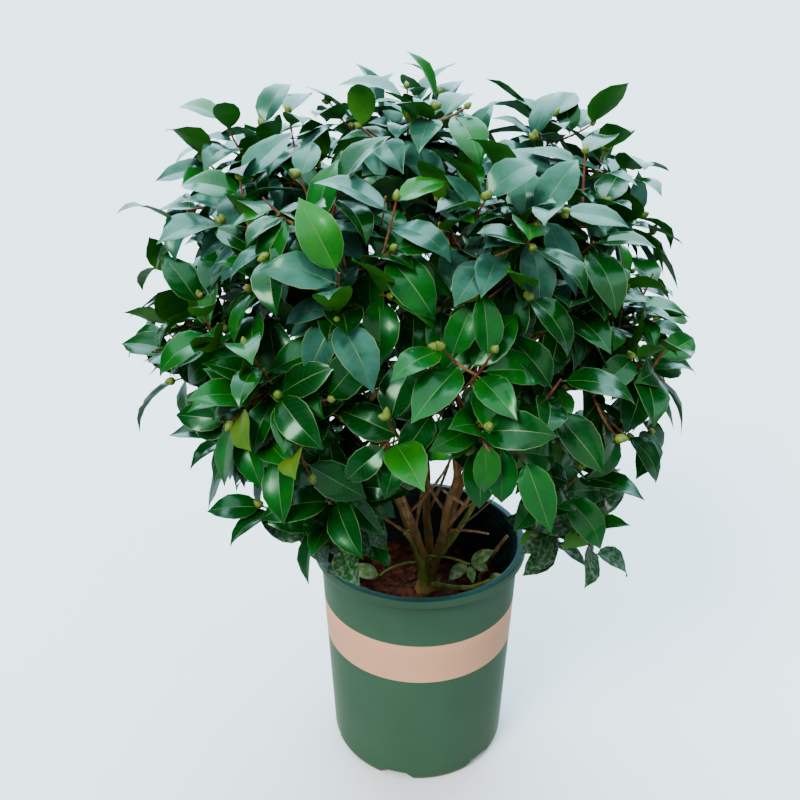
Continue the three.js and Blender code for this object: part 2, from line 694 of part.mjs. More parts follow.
// One mass: its stem, its twigs, and the leaves and buds fused on them.
function massMesh(mass, shoots) {
  const stem = massStem(mass);
  const middle = { curve: stem, radius: MASS_STEM_RADIUS, tipRadius: TWIG_TIP_RADIUS, steps: 3, sides: 3 };
  let solid = limbSolid(middle, 0);
  const own = [{ index: LEADER_INDEX + masses.indexOf(mass), curve: stem }];
  for (const { index, tip } of shoots) {
    const curve = twigCurve(stem, tip, index);
    const stays = TWIG_PROBES.every((t) => {
      const point = curvePoint(curve, t);
      return inCell(mass, point, TWIG_RADIUS + CELL_MARGIN) && isClear(point, TWIG_RADIUS);
    });
    const twig = { curve, radius: TWIG_RADIUS, tipRadius: TWIG_TIP_RADIUS, steps: 2, sides: 3 };
    const grown = stays ? fused(solid, limbSolid(twig, 0)) : solid;
    if (grown !== solid) {
      solid = grown;
      own.push({ index, curve });
    }
  }
  own.forEach((shoot) => {
    shoot.tip = shoot.curve[2];
    shoot.heading = curveTangent(shoot.curve, 1);
  });
  const twigs = own.map((shoot) => shoot.curve);
  const leaves = [];
  for (let order = 0; order < LEAVES_PER_SHOOT; order += 1) {
    for (const shoot of own) {
      const leaf = shootLeaf(mass, shoot, leaves, twigs, order);
      if (leaf) leaves.push(leaf);
    }
  }
  for (const leaf of leaves) {
    solid = fused(solid, facetSolid(leaf, KITE_TRIANGLES));
  }
  for (const shoot of own) {
    const bud = budPoints(shoot.tip, shoot.heading);
    if (shoot.index % SHOOTS_PER_BUD === 0 && bud.every((p) => inCell(mass, p, CELL_MARGIN))) {
      solid = fused(solid, facetSolid(bud, KITE_TRIANGLES));
    }
  }
  return namedMesh(`foliage_${mass.name}`, solid, materials.foliage);
}

// The masses, each given the shoots whose tips fall nearest to its seed.
function foliageMeshes() {
  const shared = new Map(masses.map((mass) => [mass, []]));
  for (const shoot of crownShoots()) {
    const owner = masses.reduce((best, next) => (
      shoot.tip.distanceTo(next.seed) < shoot.tip.distanceTo(best.seed) ? next : best
    ));
    const middle = owner.out.clone().multiplyScalar(shoot.tip.distanceTo(CROWN_CENTRE)).add(CROWN_CENTRE);
    shoot.tip.lerp(middle, TOWARD_MASS);
    shared.get(owner).push(shoot);
  }
  return masses.map((mass) => massMesh(mass, shared.get(mass)));
}

const group = new THREE.Group();
group.add(potMesh());
group.add(soilMesh());
limbMeshes().forEach((mesh) => group.add(mesh));
foliageMeshes().forEach((mesh) => group.add(mesh));

export default group;
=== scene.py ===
import math
import bpy
import numpy as np
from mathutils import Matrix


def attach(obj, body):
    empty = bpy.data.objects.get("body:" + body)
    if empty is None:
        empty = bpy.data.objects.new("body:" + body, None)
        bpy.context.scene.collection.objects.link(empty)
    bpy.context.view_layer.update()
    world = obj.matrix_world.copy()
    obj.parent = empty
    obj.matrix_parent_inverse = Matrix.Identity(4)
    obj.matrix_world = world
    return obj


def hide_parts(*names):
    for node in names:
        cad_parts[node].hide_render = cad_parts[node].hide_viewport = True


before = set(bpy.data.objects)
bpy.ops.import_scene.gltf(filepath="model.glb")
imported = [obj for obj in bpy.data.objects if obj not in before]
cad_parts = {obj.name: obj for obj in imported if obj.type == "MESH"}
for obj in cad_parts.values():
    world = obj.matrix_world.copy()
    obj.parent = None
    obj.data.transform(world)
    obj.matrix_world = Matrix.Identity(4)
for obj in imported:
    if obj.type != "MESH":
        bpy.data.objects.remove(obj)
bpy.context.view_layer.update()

# The viewpoint: an eye a little above the crown and a step in front of it, looking down on the
# pot. Nothing of it is part of the plant.
EYE_M = (-0.027, -1.0641, 1.0508)
LOOKS_DOWN_DEG = 25.5
LENS_MM = 40.9
camera = bpy.data.objects.new("viewpoint", bpy.data.cameras.new("viewpoint"))
camera.data.sensor_width = 36.0
camera.data.lens = LENS_MM
camera.location = EYE_M
camera.rotation_euler = (math.radians(90.0 - LOOKS_DOWN_DEG), 0.0, 0.0)
bpy.context.collection.objects.link(camera)
bpy.context.scene.camera = camera


# The floor: plain pale studio paper, wide enough to fill the view up to its top edge.
# Every mesh of the scene is made from points in millimetres by add_piece, which it needs first.
def add_piece(name, points, faces, materials, paint=None, blade=None, crease_deg=40.0):
    """One mesh from points (n, 3) in millimetres and a list of face arrays, each (count, corners).

    paint is a list of arrays that give each face's place in materials, and blade is an (n, 2)
    array that becomes the UV map of that name. Edges sharper than crease_deg stay sharp.
    """
    mesh = bpy.data.meshes.new(name)
    corners = np.concatenate([face.ravel() for face in faces]).astype(np.int32)
    counts = np.concatenate([np.full(len(face), face.shape[1]) for face in faces])
    mesh.vertices.add(len(points))
    mesh.vertices.foreach_set("co", (np.asarray(points) * 0.001).astype(np.float32).ravel())
    mesh.loops.add(len(corners))
    mesh.loops.foreach_set("vertex_index", corners)
    mesh.polygons.add(len(counts))
    mesh.polygons.foreach_set("loop_start", (np.cumsum(counts) - counts).astype(np.int32))
    mesh.polygons.foreach_set("use_smooth", np.ones(len(counts), bool))
    for material in materials:
        mesh.materials.append(material)
    if paint is not None:
        mesh.polygons.foreach_set("material_index", np.concatenate(paint).astype(np.int32))
    if blade is not None:
        layer = mesh.uv_layers.new(name="blade")
        layer.data.foreach_set("uv", blade[corners].astype(np.float32).ravel())
    mesh.update(calc_edges=True)
    mesh.set_sharp_from_angle(angle=math.radians(crease_deg))
    piece = bpy.data.objects.new(name, mesh)
    bpy.context.collection.objects.link(piece)
    return piece


def wire(owner, node, *values, **inputs):
    """Gives a node's inputs, in order or by name, a constant or another node's output each."""
    named = {name.replace("_", " "): value for name, value in inputs.items()}
    for place, value in [*enumerate(values), *named.items()]:
        if isinstance(value, bpy.types.NodeSocket):
            owner.node_tree.links.new(value, node.inputs[place])
        else:
            node.inputs[place].default_value = value
    return node


def add_node(owner, kind, *values, **inputs):
    """One more node in the tree of a material or of the surround, with its inputs."""
    return wire(owner, owner.node_tree.nodes.new(kind), *values, **inputs)


def cover(material, **inputs):
    """Inputs of the material's own surface."""
    wire(material, material.node_tree.nodes["Principled BSDF"], **inputs)


def worked_out(material, operation, *values):
    """The outcome of one sum with constants and other nodes' outputs."""
    sum_node = add_node(material, "ShaderNodeMath", *values)
    sum_node.operation = operation
    return sum_node.outputs["Value"]


def finish(name, dark, light, patch_mm, roughness, edges=(0.35, 0.65), stretch=(1.0, 1.0, 1.0),
           grained=None, **constants):
    """A material whose colour drifts between two tones in soft patches of about patch_mm.

    edges are the shares of the noise that are all dark and all light, and grained is the size and
    height in millimetres of a fine raised grain. The constants are further surface inputs.
    """
    material = bpy.data.materials.new(name)
    material.use_nodes = True
    place = add_node(material, "ShaderNodeTexCoord").outputs["Object"]
    mapped = add_node(material, "ShaderNodeMapping", Vector=place, Scale=stretch).outputs["Vector"]
    patches = add_node(material, "ShaderNodeTexNoise", Vector=mapped, Scale=1000.0 / patch_mm,
                       Detail=4.0)
    tones = add_node(material, "ShaderNodeValToRGB", patches.outputs["Fac"])
    for k, (edge, tone) in enumerate(zip(edges, (dark, light))):
        tones.color_ramp.elements[k].position = edge
        tones.color_ramp.elements[k].color = (*tone, 1.0)
    cover(material, Base_Color=tones.outputs["Color"], Roughness=roughness, **constants)
    if grained:
        noise = add_node(material, "ShaderNodeTexNoise", Vector=place, Scale=1000.0 / grained[0],
                         Detail=5.0)
        raised = add_node(material, "ShaderNodeBump", Strength=0.6, Distance=grained[1] / 1000.0,
                          Height=noise.outputs["Fac"])
        cover(material, Normal=raised.outputs["Normal"])
    return material


def blend(material, share, over):
    """Another colour covers the material's own as share goes from 0 to 1."""
    surface = material.node_tree.nodes["Principled BSDF"]
    own = surface.inputs["Base Color"].links[0].from_socket
    mix = material.node_tree.nodes.new("ShaderNodeMix")
    mix.data_type = "RGBA"
    wire(material, mix, Factor=share, A=own, B=over)
    cover(material, Base_Color=mix.outputs["Result"])


FLOOR_HALF = 60000.0
PAPER_LIGHTING_PLANT = (0.18, 0.18, 0.18, 1.0)
paper = finish("paper", (0.93, 0.93, 0.93), (0.95, 0.95, 0.95), 400.0, 0.9)
# The paper throws less light back on the plant than the eye sees on it.
by_eye = add_node(paper, "ShaderNodeLightPath").outputs["Is Camera Ray"]
blend(paper, worked_out(paper, "SUBTRACT", 1.0, by_eye), PAPER_LIGHTING_PLANT)
floor_corners = np.array([[-1, -1, 0], [1, -1, 0], [1, 1, 0], [-1, 1, 0]]) * FLOOR_HALF
floor = add_piece("floor", floor_corners, [np.array([[0, 1, 2, 3]])], [paper])


# Soft studio light, like open shade: a broad cool patch of sky low behind the crown, whose
# reflection is the bluish sheen on the leaves that face up, a soft patch over the viewer's left
# shoulder, a weaker one on the right and one overhead. An even pale surround fills the rest.
def add_sky_patch(name, azimuth_deg, elevation_deg, width_deg, power, color):
    """A round patch of bright sky, width_deg across, that shines from an azimuth and elevation."""
    light = bpy.data.lights.new(name, "SUN")
    light.angle = math.radians(width_deg)
    light.energy = power
    light.color = color
    patch = bpy.data.objects.new(name, light)
    tilt, turn = math.radians(90.0 - elevation_deg), math.radians(azimuth_deg + 90.0)
    patch.rotation_euler = (tilt, 0.0, turn)
    bpy.context.collection.objects.link(patch)


add_sky_patch("sky_back", 90.0, 34.0, 80.0, 7.6, (0.50, 0.80, 1.0))
add_sky_patch("sky_left", 232.0, 44.0, 22.0, 3.7, (1.0, 0.98, 0.95))
add_sky_patch("sky_right", 318.0, 34.0, 60.0, 0.9, (0.96, 0.98, 1.0))
add_sky_patch("sky_top", 100.0, 78.0, 90.0, 5.2, (0.66, 0.90, 1.0))
SURROUND_COLOR = (0.645, 0.866, 1.0, 1.0)
SURROUND_LIGHTING_PLANT = 0.18
SURROUND_SEEN = 3.8
surround = bpy.data.worlds.new("surround")
surround.use_nodes = True
by_eye = add_node(surround, "ShaderNodeLightPath").outputs["Is Camera Ray"]
brightness = add_node(surround, "ShaderNodeMapRange", Value=by_eye,
                      To_Min=SURROUND_LIGHTING_PLANT, To_Max=SURROUND_SEEN)
wire(surround, surround.node_tree.nodes["Background"], Color=SURROUND_COLOR,
     Strength=brightness.outputs["Result"])
bpy.context.scene.world = surround


# The pot: a thin tub injection-moulded in muted green plastic, with a rolled rim in darker teal,
# fine ribs inside under the rim and a foot ring with six drainage notches. A plain pale band is
# printed round it.
POT_HEIGHT = 333.0
RIM_RADIUS = 148.0
RIM_INNER_RADIUS = 136.0
RIM_DEPTH = 11.0
SHOULDER_RADIUS = 138.0
FOOT_RADIUS = 122.0
FOOT_HEIGHT = 10.0
FOOT_FLARE = 4.0
FOOT_RING_WIDTH = 9.0
WALL = 2.6
FLOOR_HEIGHT = 5.0
BASE_PAD_RADIUS = 48.0
NOTCH_COUNT = 6
NOTCH_FIRST_AZIMUTH = 254.5
NOTCH_FOOT_WIDTH = 50.0
NOTCH_ROOF_WIDTH = 32.0
NOTCH_HEIGHT = 14.0
BAND_BOTTOM = 189.0
BAND_TOP = 252.0
BAND_PROUD = 0.12
BEAD_HEIGHTS = (311.0, 313.0, 315.5, 317.5)
BEAD_PROUD = 0.9
RIB_PITCH = 9.0
RIB_DEPTH = 0.9
RIBS_FROM = 236.0
POT_COLUMNS = 360
POT_GREENS = ((0.043, 0.113, 0.060), (0.050, 0.126, 0.068))
BAND_BEIGES = ((0.96, 0.48, 0.27), (0.98, 0.51, 0.30))
RIM_TEALS = ((0.008, 0.062, 0.058), (0.014, 0.088, 0.080))
INSIDE_DARKS = ((0.007, 0.029, 0.027), (0.020, 0.064, 0.057))


def wall_radius(z):
    """Outside radius of the tapered wall: straight from foot to shoulder."""
    ends = [FOOT_HEIGHT, POT_HEIGHT - RIM_DEPTH]
    return np.interp(z, ends, [FOOT_RADIUS + FOOT_FLARE, SHOULDER_RADIUS])


def arc(middle, radius, first_deg, last_deg, count):
    """Points (r, z) on a circular arc about middle."""
    turn = np.radians(np.linspace(first_deg, last_deg, count))
    return np.stack([middle[0] + radius * np.cos(turn), middle[1] + radius * np.sin(turn)], 1)


def wall_points(heights, proud=0.0):
    """Points (r, z) of the outer wall at some heights, standing proud by some amount."""
    return np.stack([wall_radius(np.array(heights)) + proud, np.array(heights)], 1)


def grid_faces(rows, columns):
    """Quads of a grid of points, row by row, whose last column joins the first."""
    row, column = columns * np.arange(rows - 1)[:, None], np.arange(columns)[None, :]
    beside = (column + 1) % columns
    quads = [row + column, row + beside, row + columns + beside, row + columns + column]
    return np.stack(quads, -1).reshape(-1, 4)


def repeated(faces, count, points_each):
    """The faces of one small form, repeated for each of its copies."""
    first_points = points_each * np.arange(count)[:, None, None]
    return (faces[None] + first_points).reshape(-1, faces.shape[1])


def tube_faces(rows, sides, count=1):
    """The faces of closed tubes: the grids round them, their first end caps and their last ones."""
    first, last = np.arange(sides)[None, ::-1], (rows - 1) * sides + np.arange(sides)[None, :]
    kinds = (grid_faces(rows, sides), first, last)
    return [repeated(faces, count, rows * sides) for faces in kinds]


under = POT_HEIGHT - RIM_DEPTH
base_profile = np.array([
    (2.0, 0.0), (BASE_PAD_RADIUS, 0.0), (BASE_PAD_RADIUS, FLOOR_HEIGHT),
    (FOOT_RADIUS - FOOT_RING_WIDTH, FLOOR_HEIGHT), (FOOT_RADIUS - FOOT_RING_WIDTH, 0.0),
    (FOOT_RADIUS - 1.0, 0.0), (FOOT_RADIUS, 1.0), (FOOT_RADIUS + 2.0, 5.0),
    (FOOT_RADIUS + 3.3, 8.0),
])
lower_wall = wall_points([10.0, 12.0, 40.0, 80.0, 120.0, 160.0, BAND_BOTTOM])
band_wall = wall_points([210.0, 230.0, BAND_TOP], BAND_PROUD)
upper_wall = np.concatenate([
    wall_points([BAND_TOP + 0.4, 280.0, 300.0, BEAD_HEIGHTS[0]]),
    wall_points(BEAD_HEIGHTS[1:3], BEAD_PROUD),
    wall_points([BEAD_HEIGHTS[3], under]),
    arc((RIM_RADIUS - 2.0, under + 2.0), 2.0, -90.0, 0.0, 5),
    arc((RIM_RADIUS - 3.4, POT_HEIGHT - 3.0), 3.0, 0.0, 50.0, 4),
])
rim_top = np.concatenate([
    arc((RIM_RADIUS - 3.4, POT_HEIGHT - 3.0), 3.0, 65.0, 90.0, 3),
    arc((RIM_INNER_RADIUS + 3.0, POT_HEIGHT - 3.0), 3.0, 90.0, 180.0, 6),
])
rib_heights = np.arange(under - 4.0, RIBS_FROM, -1.5)
rib_radii = wall_radius(rib_heights) - WALL
rib_radii -= 0.5 * RIB_DEPTH * (1.0 + np.cos(2 * np.pi * rib_heights / RIB_PITCH))
floor_top = FOOT_HEIGHT + WALL
inside = np.concatenate([
    np.array([(RIM_INNER_RADIUS - 0.4, under)]),
    np.stack([rib_radii, rib_heights], 1),
    np.array([(float(wall_radius(floor_top)) - WALL, floor_top), (2.0, floor_top)]),
])
runs = [base_profile, lower_wall, band_wall, upper_wall, rim_top, inside]
pot_profile = np.concatenate(runs)
pot_turn = 2 * np.pi * np.arange(POT_COLUMNS) / POT_COLUMNS
pot_r = np.repeat(pot_profile[:, :1], POT_COLUMNS, 1)
pot_z = np.repeat(pot_profile[:, 1:], POT_COLUMNS, 1)
# A notch lifts the foot ring's underside to its roof, sloping at both ends.
half_pitch = 180.0 / NOTCH_COUNT
from_notch = (np.degrees(pot_turn) - NOTCH_FIRST_AZIMUTH + half_pitch) % (2 * half_pitch)
along_ring = np.radians(np.abs(from_notch - half_pitch)) * FOOT_RADIUS
notch_ends = [NOTCH_ROOF_WIDTH / 2, NOTCH_FOOT_WIDTH / 2]
notch_roof = np.interp(along_ring, notch_ends, [NOTCH_HEIGHT, 0.0])
ring_inside = FOOT_RADIUS - FOOT_RING_WIDTH - 1.0
ring_row = (pot_profile[:, 0] > ring_inside) & (pot_profile[:, 1] < NOTCH_HEIGHT)
pot_z[ring_row] = np.maximum(pot_z[ring_row], notch_roof[None, :])
pot_points = np.stack([pot_r * np.cos(pot_turn), pot_r * np.sin(pot_turn), pot_z], -1)
# Each row of faces takes the colour of the run that its upper points belong to.
run_of_row = np.repeat([0, 0, 1, 0, 2, 3], [len(run) for run in runs])[1:]
pot_paint = [np.repeat(run_of_row, POT_COLUMNS), np.array([0]), np.array([3])]
pot_plastic = finish("pot_plastic", *POT_GREENS, 90.0, 0.55, grained=(1.2, 0.05),
                     Specular_IOR_Level=0.3, Sheen_Weight=0.36, Sheen_Roughness=0.30,
                     Sheen_Tint=(1.0, 0.92, 0.66, 1.0))
band_print = finish("band_print", *BAND_BEIGES, 60.0, 0.6)
rim_plastic = finish("rim_plastic", *RIM_TEALS, 50.0, 0.6, Specular_IOR_Level=0.3)
inner_plastic = finish("inner_plastic", *INSIDE_DARKS, 40.0, 0.5)
pot = add_piece("nursery_pot", pot_points.reshape(-1, 3), tube_faces(len(pot_profile), POT_COLUMNS),
                [pot_plastic, band_print, rim_plastic, inner_plastic], pot_paint, crease_deg=28.0)
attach(pot, "root")
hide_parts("pot")


# The soil: composted bark, dark and reddish, settled to a hand's breadth under the rim. Loose
# flakes of bark lie on it.
SOIL_TOP = 243.0
SOIL_RELIEF = 5.0
SOIL_EDGE_RADIUS = 131.2
TRUNK_FOOT = np.array([10.0, 2.0, SOIL_TOP])
TRUNK_SEAT_RADIUS = 26.0
SOIL_ROWS = 90
SOIL_COLUMNS = 180
FLAKE_COUNT = 900
FLAKE_SPREAD = 126.0
FLAKE_LENGTHS = (3.0, 12.0)
FLAKE_WIDTH_RATIOS = (0.25, 0.75)
FLAKE_FLATNESS = 0.35
SPREAD_STEPS = (0.8191725134, 0.6710436067, 0.5497004779)


def fraction(n, step):
    """The fractional part of n times a step: a sequence that stays even however far it runs."""
    return np.mod(np.asarray(n, float) * step, 1.0)


def smoothstep(x, low, high):
    """0 below low, 1 above high, and 3t^2 - 2t^3 between."""
    t = np.clip((np.asarray(x, float) - low) / (high - low), 0.0, 1.0)
    return t * t * (3.0 - 2.0 * t)


def unit(vectors):
    """The vectors at length 1."""
    return vectors / np.linalg.norm(vectors, axis=-1, keepdims=True)


def ringed(centre, side, other, radius, sides):
    """Rings about centres: at each turn, centre + radius (side cos turn + other sin turn)."""
    turn = 2 * np.pi * np.arange(sides) / sides
    return (centre[..., None, :] + side[..., None, :] * (radius * np.cos(turn))[..., None]
            + other[..., None, :] * (radius * np.sin(turn))[..., None])


def between(ends, share):
    """The value that lies that share of the way from the first end to the last."""
    return ends[0] + (ends[1] - ends[0]) * share


def soil_height(x, y):
    """The source's gentle mounds, flat round the trunk, with clods of three sizes on them."""
    from_trunk = np.hypot(x - TRUNK_FOOT[0], y - TRUNK_FOOT[1])
    lumps = np.sin(x / 19 + 1.3) * np.cos(y / 23 - 0.4) + 0.5 * np.sin((x + y) / 11)
    mound = smoothstep(from_trunk, TRUNK_SEAT_RADIUS, 2 * TRUNK_SEAT_RADIUS) * (0.5 - 0.4 * lumps)
    clods = (np.sin(x / 3.1 + 2 * np.sin(y / 5.3)) * np.cos(y / 2.7 + 1.5 * np.sin(x / 4.9))
             + 0.6 * np.sin(x / 1.3 + y / 2.1) * np.cos(y / 1.5 - x / 3.3))
    return SOIL_TOP - SOIL_RELIEF * mound + 1.1 * clods - 1.0


soil_r = SOIL_EDGE_RADIUS * np.sqrt(np.linspace(0.0004, 1.0, SOIL_ROWS))[:, None]
soil_turn = 2 * np.pi * np.arange(SOIL_COLUMNS)[None, :] / SOIL_COLUMNS
soil_x, soil_y = soil_r * np.cos(soil_turn), soil_r * np.sin(soil_turn)
soil_points = np.stack([soil_x, soil_y, soil_height(soil_x, soil_y)], -1).reshape(-1, 3)
BED_HEIGHT = floor_top + 0.5
bed_narrowing = (float(wall_radius(BED_HEIGHT)) - WALL - 1.0) / SOIL_EDGE_RADIUS
bed_points = soil_points[-SOIL_COLUMNS:] * np.array([bed_narrowing, bed_narrowing, 0.0])
bed_points = bed_points + BED_HEIGHT * np.array([0.0, 0.0, 1.0])
soil_points = np.concatenate([soil_points, bed_points])
soil_faces = [
    grid_faces(SOIL_ROWS + 1, SOIL_COLUMNS)[:, ::-1],
    np.arange(SOIL_COLUMNS)[None, :],
    SOIL_ROWS * SOIL_COLUMNS + np.arange(SOIL_COLUMNS)[None, ::-1],
]
compost = finish("compost", (0.028, 0.005, 0.002), (0.140, 0.023, 0.006), 7.0, 0.95,
                 grained=(2.0, 0.8))
soil = add_piece("bark_compost", soil_points, soil_faces, [compost], crease_deg=70.0)
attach(soil, "root")
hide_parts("soil")

flake = np.arange(1, FLAKE_COUNT + 1)
flake_r = FLAKE_SPREAD * np.sqrt(fraction(flake, SPREAD_STEPS[0]))
flake_turn = 2 * np.pi * fraction(flake, SPREAD_STEPS[1])
flake_x, flake_y = flake_r * np.cos(flake_turn), flake_r * np.sin(flake_turn)
flake_long = between(FLAKE_LENGTHS, fraction(flake, 0.3717) ** 2)
flake_wide = flake_long * between(FLAKE_WIDTH_RATIOS, fraction(flake, 0.7391))
# Each flake is a bent six-sided chip: a middle section that is wider than its two ends.
flake_spine = np.array([-1.0, -0.3, 0.5, 1.0])
flake_girth = np.array([0.25, 1.0, 0.85, 0.2])
flake_corner = 2 * np.pi * np.arange(6) / 6
yaw = 2 * np.pi * fraction(flake, 0.2929)
pitch = 0.9 * (fraction(flake, 0.5813) - 0.5)
flake_forward = np.stack([
    np.cos(yaw) * np.cos(pitch), np.sin(yaw) * np.cos(pitch), np.sin(pitch)], 1)
flake_side = unit(np.stack([-np.sin(yaw), np.cos(yaw), 0.5 * np.sin(5 * yaw)], 1))
flake_up = np.cross(flake_forward, flake_side)
flake_place = np.stack([flake_x, flake_y, soil_height(flake_x, flake_y) + 0.8], 1)
uneven = 1.0 + 0.35 * np.sin(
    flake[:, None, None] * 1.7 + 3.1 * flake_spine[:, None] + 2.3 * flake_corner)
flake_lengthwise = (flake_long[:, None] * flake_spine)[..., None]
flake_middle = flake_place[:, None] + flake_forward[:, None] * flake_lengthwise
flake_points = ringed(flake_middle, flake_side[:, None], FLAKE_FLATNESS * flake_up[:, None],
                      uneven * (flake_wide[:, None] * flake_girth)[..., None], 6)
flake_bark = finish("flake_bark", (0.058, 0.012, 0.004), (0.235, 0.053, 0.016), 14.0, 0.9,
                    grained=(1.5, 0.3))
flakes = add_piece("bark_flakes", flake_points.reshape(-1, 3),
                   tube_faces(4, 6, FLAKE_COUNT), [flake_bark])
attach(flakes, "root")


# The crown's plan, as in the solids: a low fork, five stems up to the upper masses, and a bough
# from the nearest stem to each of the other masses. Azimuth 0 is to the right, 90 to the back.
CROWN_CENTRE = np.array([-8.0, 0.0, 615.0])
FORK = np.array([16.0, 2.0, 292.0])
RINGS = (
    {"name": "upper", "count": 5, "elevation": 43.0, "azimuth": 18.0, "leaves": 0.0,
     "reach": (388, 366, 388, 358, 362)},
    {"name": "top", "count": 1, "elevation": 86.0, "azimuth": 120.0, "leaves": 0.7,
     "reach": (350,)},
    {"name": "middle", "count": 7, "elevation": 3.0, "azimuth": -26.0, "leaves": 0.4,
     "reach": (348, 346, 350, 350, 376, 342, 346)},
    {"name": "lower", "count": 5, "elevation": -35.0, "azimuth": -40.0, "leaves": 0.15,
     "reach": (372, 335, 330, 280, 325)},
)
ROOT_DEPTH = 0.5
SEED_DEPTH = 0.72
REACH_SHARPNESS = 14.0
STEM_COUNT = 5
STEM_RADII = (6.6, 3.2)
BOUGH_RADII = (3.6, 2.4)
UP = np.array([0.0, 0.0, 1.0])


def direction(azimuth, elevation):
    """Unit vectors from azimuths and elevations in degrees."""
    turn, lift = np.radians(np.broadcast_arrays(azimuth, elevation))
    return np.stack([np.cos(turn) * np.cos(lift), np.sin(turn) * np.cos(lift), np.sin(lift)], -1)


def on_curve(curves, t):
    """Points (curves, t, 3) of quadratic curves: (1-t)^2 start + 2t(1-t) elbow + t^2 end."""
    t = np.asarray(t, float)[..., None]
    start, elbow, end = (curves[:, None, k] for k in range(3))
    return (1 - t) ** 2 * start + 2 * t * (1 - t) * elbow + t ** 2 * end


def along_curve(curves, t):
    """Unit directions of those curves at t."""
    t = np.asarray(t, float)[..., None]
    start, elbow, end = (curves[:, None, k] for k in range(3))
    return unit((1 - t) * (elbow - start) + t * (end - elbow))


masses = [(ring, k) for ring in RINGS for k in range(ring["count"])]
mass_names = [ring["name"] + (f"_{k + 1}" if ring["count"] > 1 else "") for ring, k in masses]
mass_azimuth = np.array([ring["azimuth"] + 360.0 * k / ring["count"] for ring, k in masses])
mass_elevation = np.array([ring["elevation"] for ring, _ in masses])
mass_reach = np.array([float(ring["reach"][k]) for ring, k in masses])
mass_leaves = np.array([ring["leaves"] + 0.07 * (k % 2) for ring, k in masses])
mass_out = direction(mass_azimuth, mass_elevation)
mass_seed = CROWN_CENTRE + SEED_DEPTH * mass_reach[:, None] * mass_out
mass_root = CROWN_CENTRE + ROOT_DEPTH * mass_reach[:, None] * mass_out
MASS_COUNT = len(mass_reach)

stem_outward = direction(mass_azimuth[:STEM_COUNT], 0.0)
stem_foot = FORK + 7.0 * stem_outward - 10.0 * UP
stem_elbow = 0.5 * (stem_foot + mass_root[:STEM_COUNT]) + 14.0 * stem_outward - 20.0 * UP
stem_curves = np.stack([stem_foot, stem_elbow, mass_root[:STEM_COUNT]], 1)
bough_outward = direction(mass_azimuth[STEM_COUNT:], 0.0)
nearest_stem = stem_curves[np.argmax(bough_outward @ stem_outward.T, axis=1)]
bough_leaves = mass_leaves[STEM_COUNT:, None]
bough_foot = on_curve(nearest_stem, bough_leaves)[:, 0]
bough_heading = along_curve(nearest_stem, bough_leaves)[:, 0]
bough_root = mass_root[STEM_COUNT:]
bough_span = np.linalg.norm(bough_root - bough_foot, axis=1, keepdims=True)
bough_elbow = 0.75 * (bough_foot + 0.35 * bough_span * bough_heading) + 0.25 * bough_root
bough_curves = np.stack([bough_foot, bough_elbow, bough_root], 1)
limb_curves = np.concatenate([stem_curves, bough_curves])


# Trunk, stems and boughs: living wood under thin bark, tan-brown above and green with moss near
# the soil, a little crooked, with swellings at old leaf scars and shallow seams along the bark.
BARK_SIDES = 20
BARK_STEP = 3.0
SWAY = 1.6
SLANTING = np.array([0.31, -0.87, 0.38])


def bark_limb(curve, radii, seed, flare=0.0):
    """A limb's skin: rings about a swaying curve, their radius tapering from radii[0] to radii[1].

    The radius is widened at the foot by flare (1-t)^5, swells at leaf scars, and carries seams
    that wind slowly round the limb.
    """
    coarsely = on_curve(curve[None], np.linspace(0, 1, 20))[0]
    length = np.linalg.norm(np.diff(coarsely, axis=0), axis=1).sum()
    rings = max(8, int(length / BARK_STEP))
    t = np.linspace(0.0, 1.0, rings)
    centre, heading = on_curve(curve[None], t)[0], along_curve(curve[None], t)[0]
    side = unit(np.cross(heading, unit(SLANTING)))
    other = np.cross(heading, side)
    run = t * length
    ends = np.sin(np.pi * t) ** 0.5
    centre = centre + SWAY * ends[:, None] * (
        side * np.sin(run / 21 + seed)[:, None] + other * np.sin(run / 17 + 2.3 * seed)[:, None])
    turn = 2 * np.pi * np.arange(BARK_SIDES) / BARK_SIDES
    winding = turn[None, :] + run[:, None] / 90.0 + seed
    seams = (0.055 * np.sin(3 * winding + 2 * np.sin(run[:, None] / 23))
             + 0.045 * np.sin(7 * winding + 3 * np.sin(run[:, None] / 14 + seed))
             + 0.030 * np.sin(11 * winding - run[:, None] / 6))
    scars = 0.10 * np.exp(-((np.mod(run[:, None] + 9 * seed, 31.0) - 15.0) / 3.5) ** 2)
    radius = between(radii, t) + flare * (1 - t) ** 5
    skin = radius[:, None] * (1.0 + seams + scars)
    points = ringed(centre, side, other, skin, BARK_SIDES)
    quads, first, last = tube_faces(rings, BARK_SIDES)
    return points.reshape(-1, 3), [quads, np.concatenate([first, last])]


def joined(forms):
    """Several (points, [quads, caps]) forms as one."""
    start = np.cumsum([0] + [len(points) for points, _ in forms])
    points = np.concatenate([points for points, _ in forms])
    kinds = range(len(forms[0][1]))
    return points, [np.concatenate([faces[k] + start[i] for i, (_, faces) in enumerate(forms)])
                    for k in kinds]


def bark_finish(name, dark, light, moss, moss_from_mm, moss_to_mm):
    """Bark mottled along the limb, that turns to moss from one height down to another."""
    material = finish(name, dark, light, 9.0, 0.85, (0.3, 0.7), (1.0, 1.0, 0.4), (1.4, 0.35))
    place = add_node(material, "ShaderNodeTexCoord").outputs["Object"]
    up = add_node(material, "ShaderNodeSeparateXYZ", place).outputs["Z"]
    height = add_node(material, "ShaderNodeMapRange", Value=up, From_Min=moss_to_mm / 1000.0,
                      From_Max=moss_from_mm / 1000.0, To_Min=1.0, To_Max=0.0)
    spots = add_node(material, "ShaderNodeTexNoise", Vector=place, Scale=90.0)
    share = worked_out(material, "MULTIPLY", height.outputs["Result"], spots.outputs["Fac"])
    blend(material, share, (*moss, 1.0))
    return material


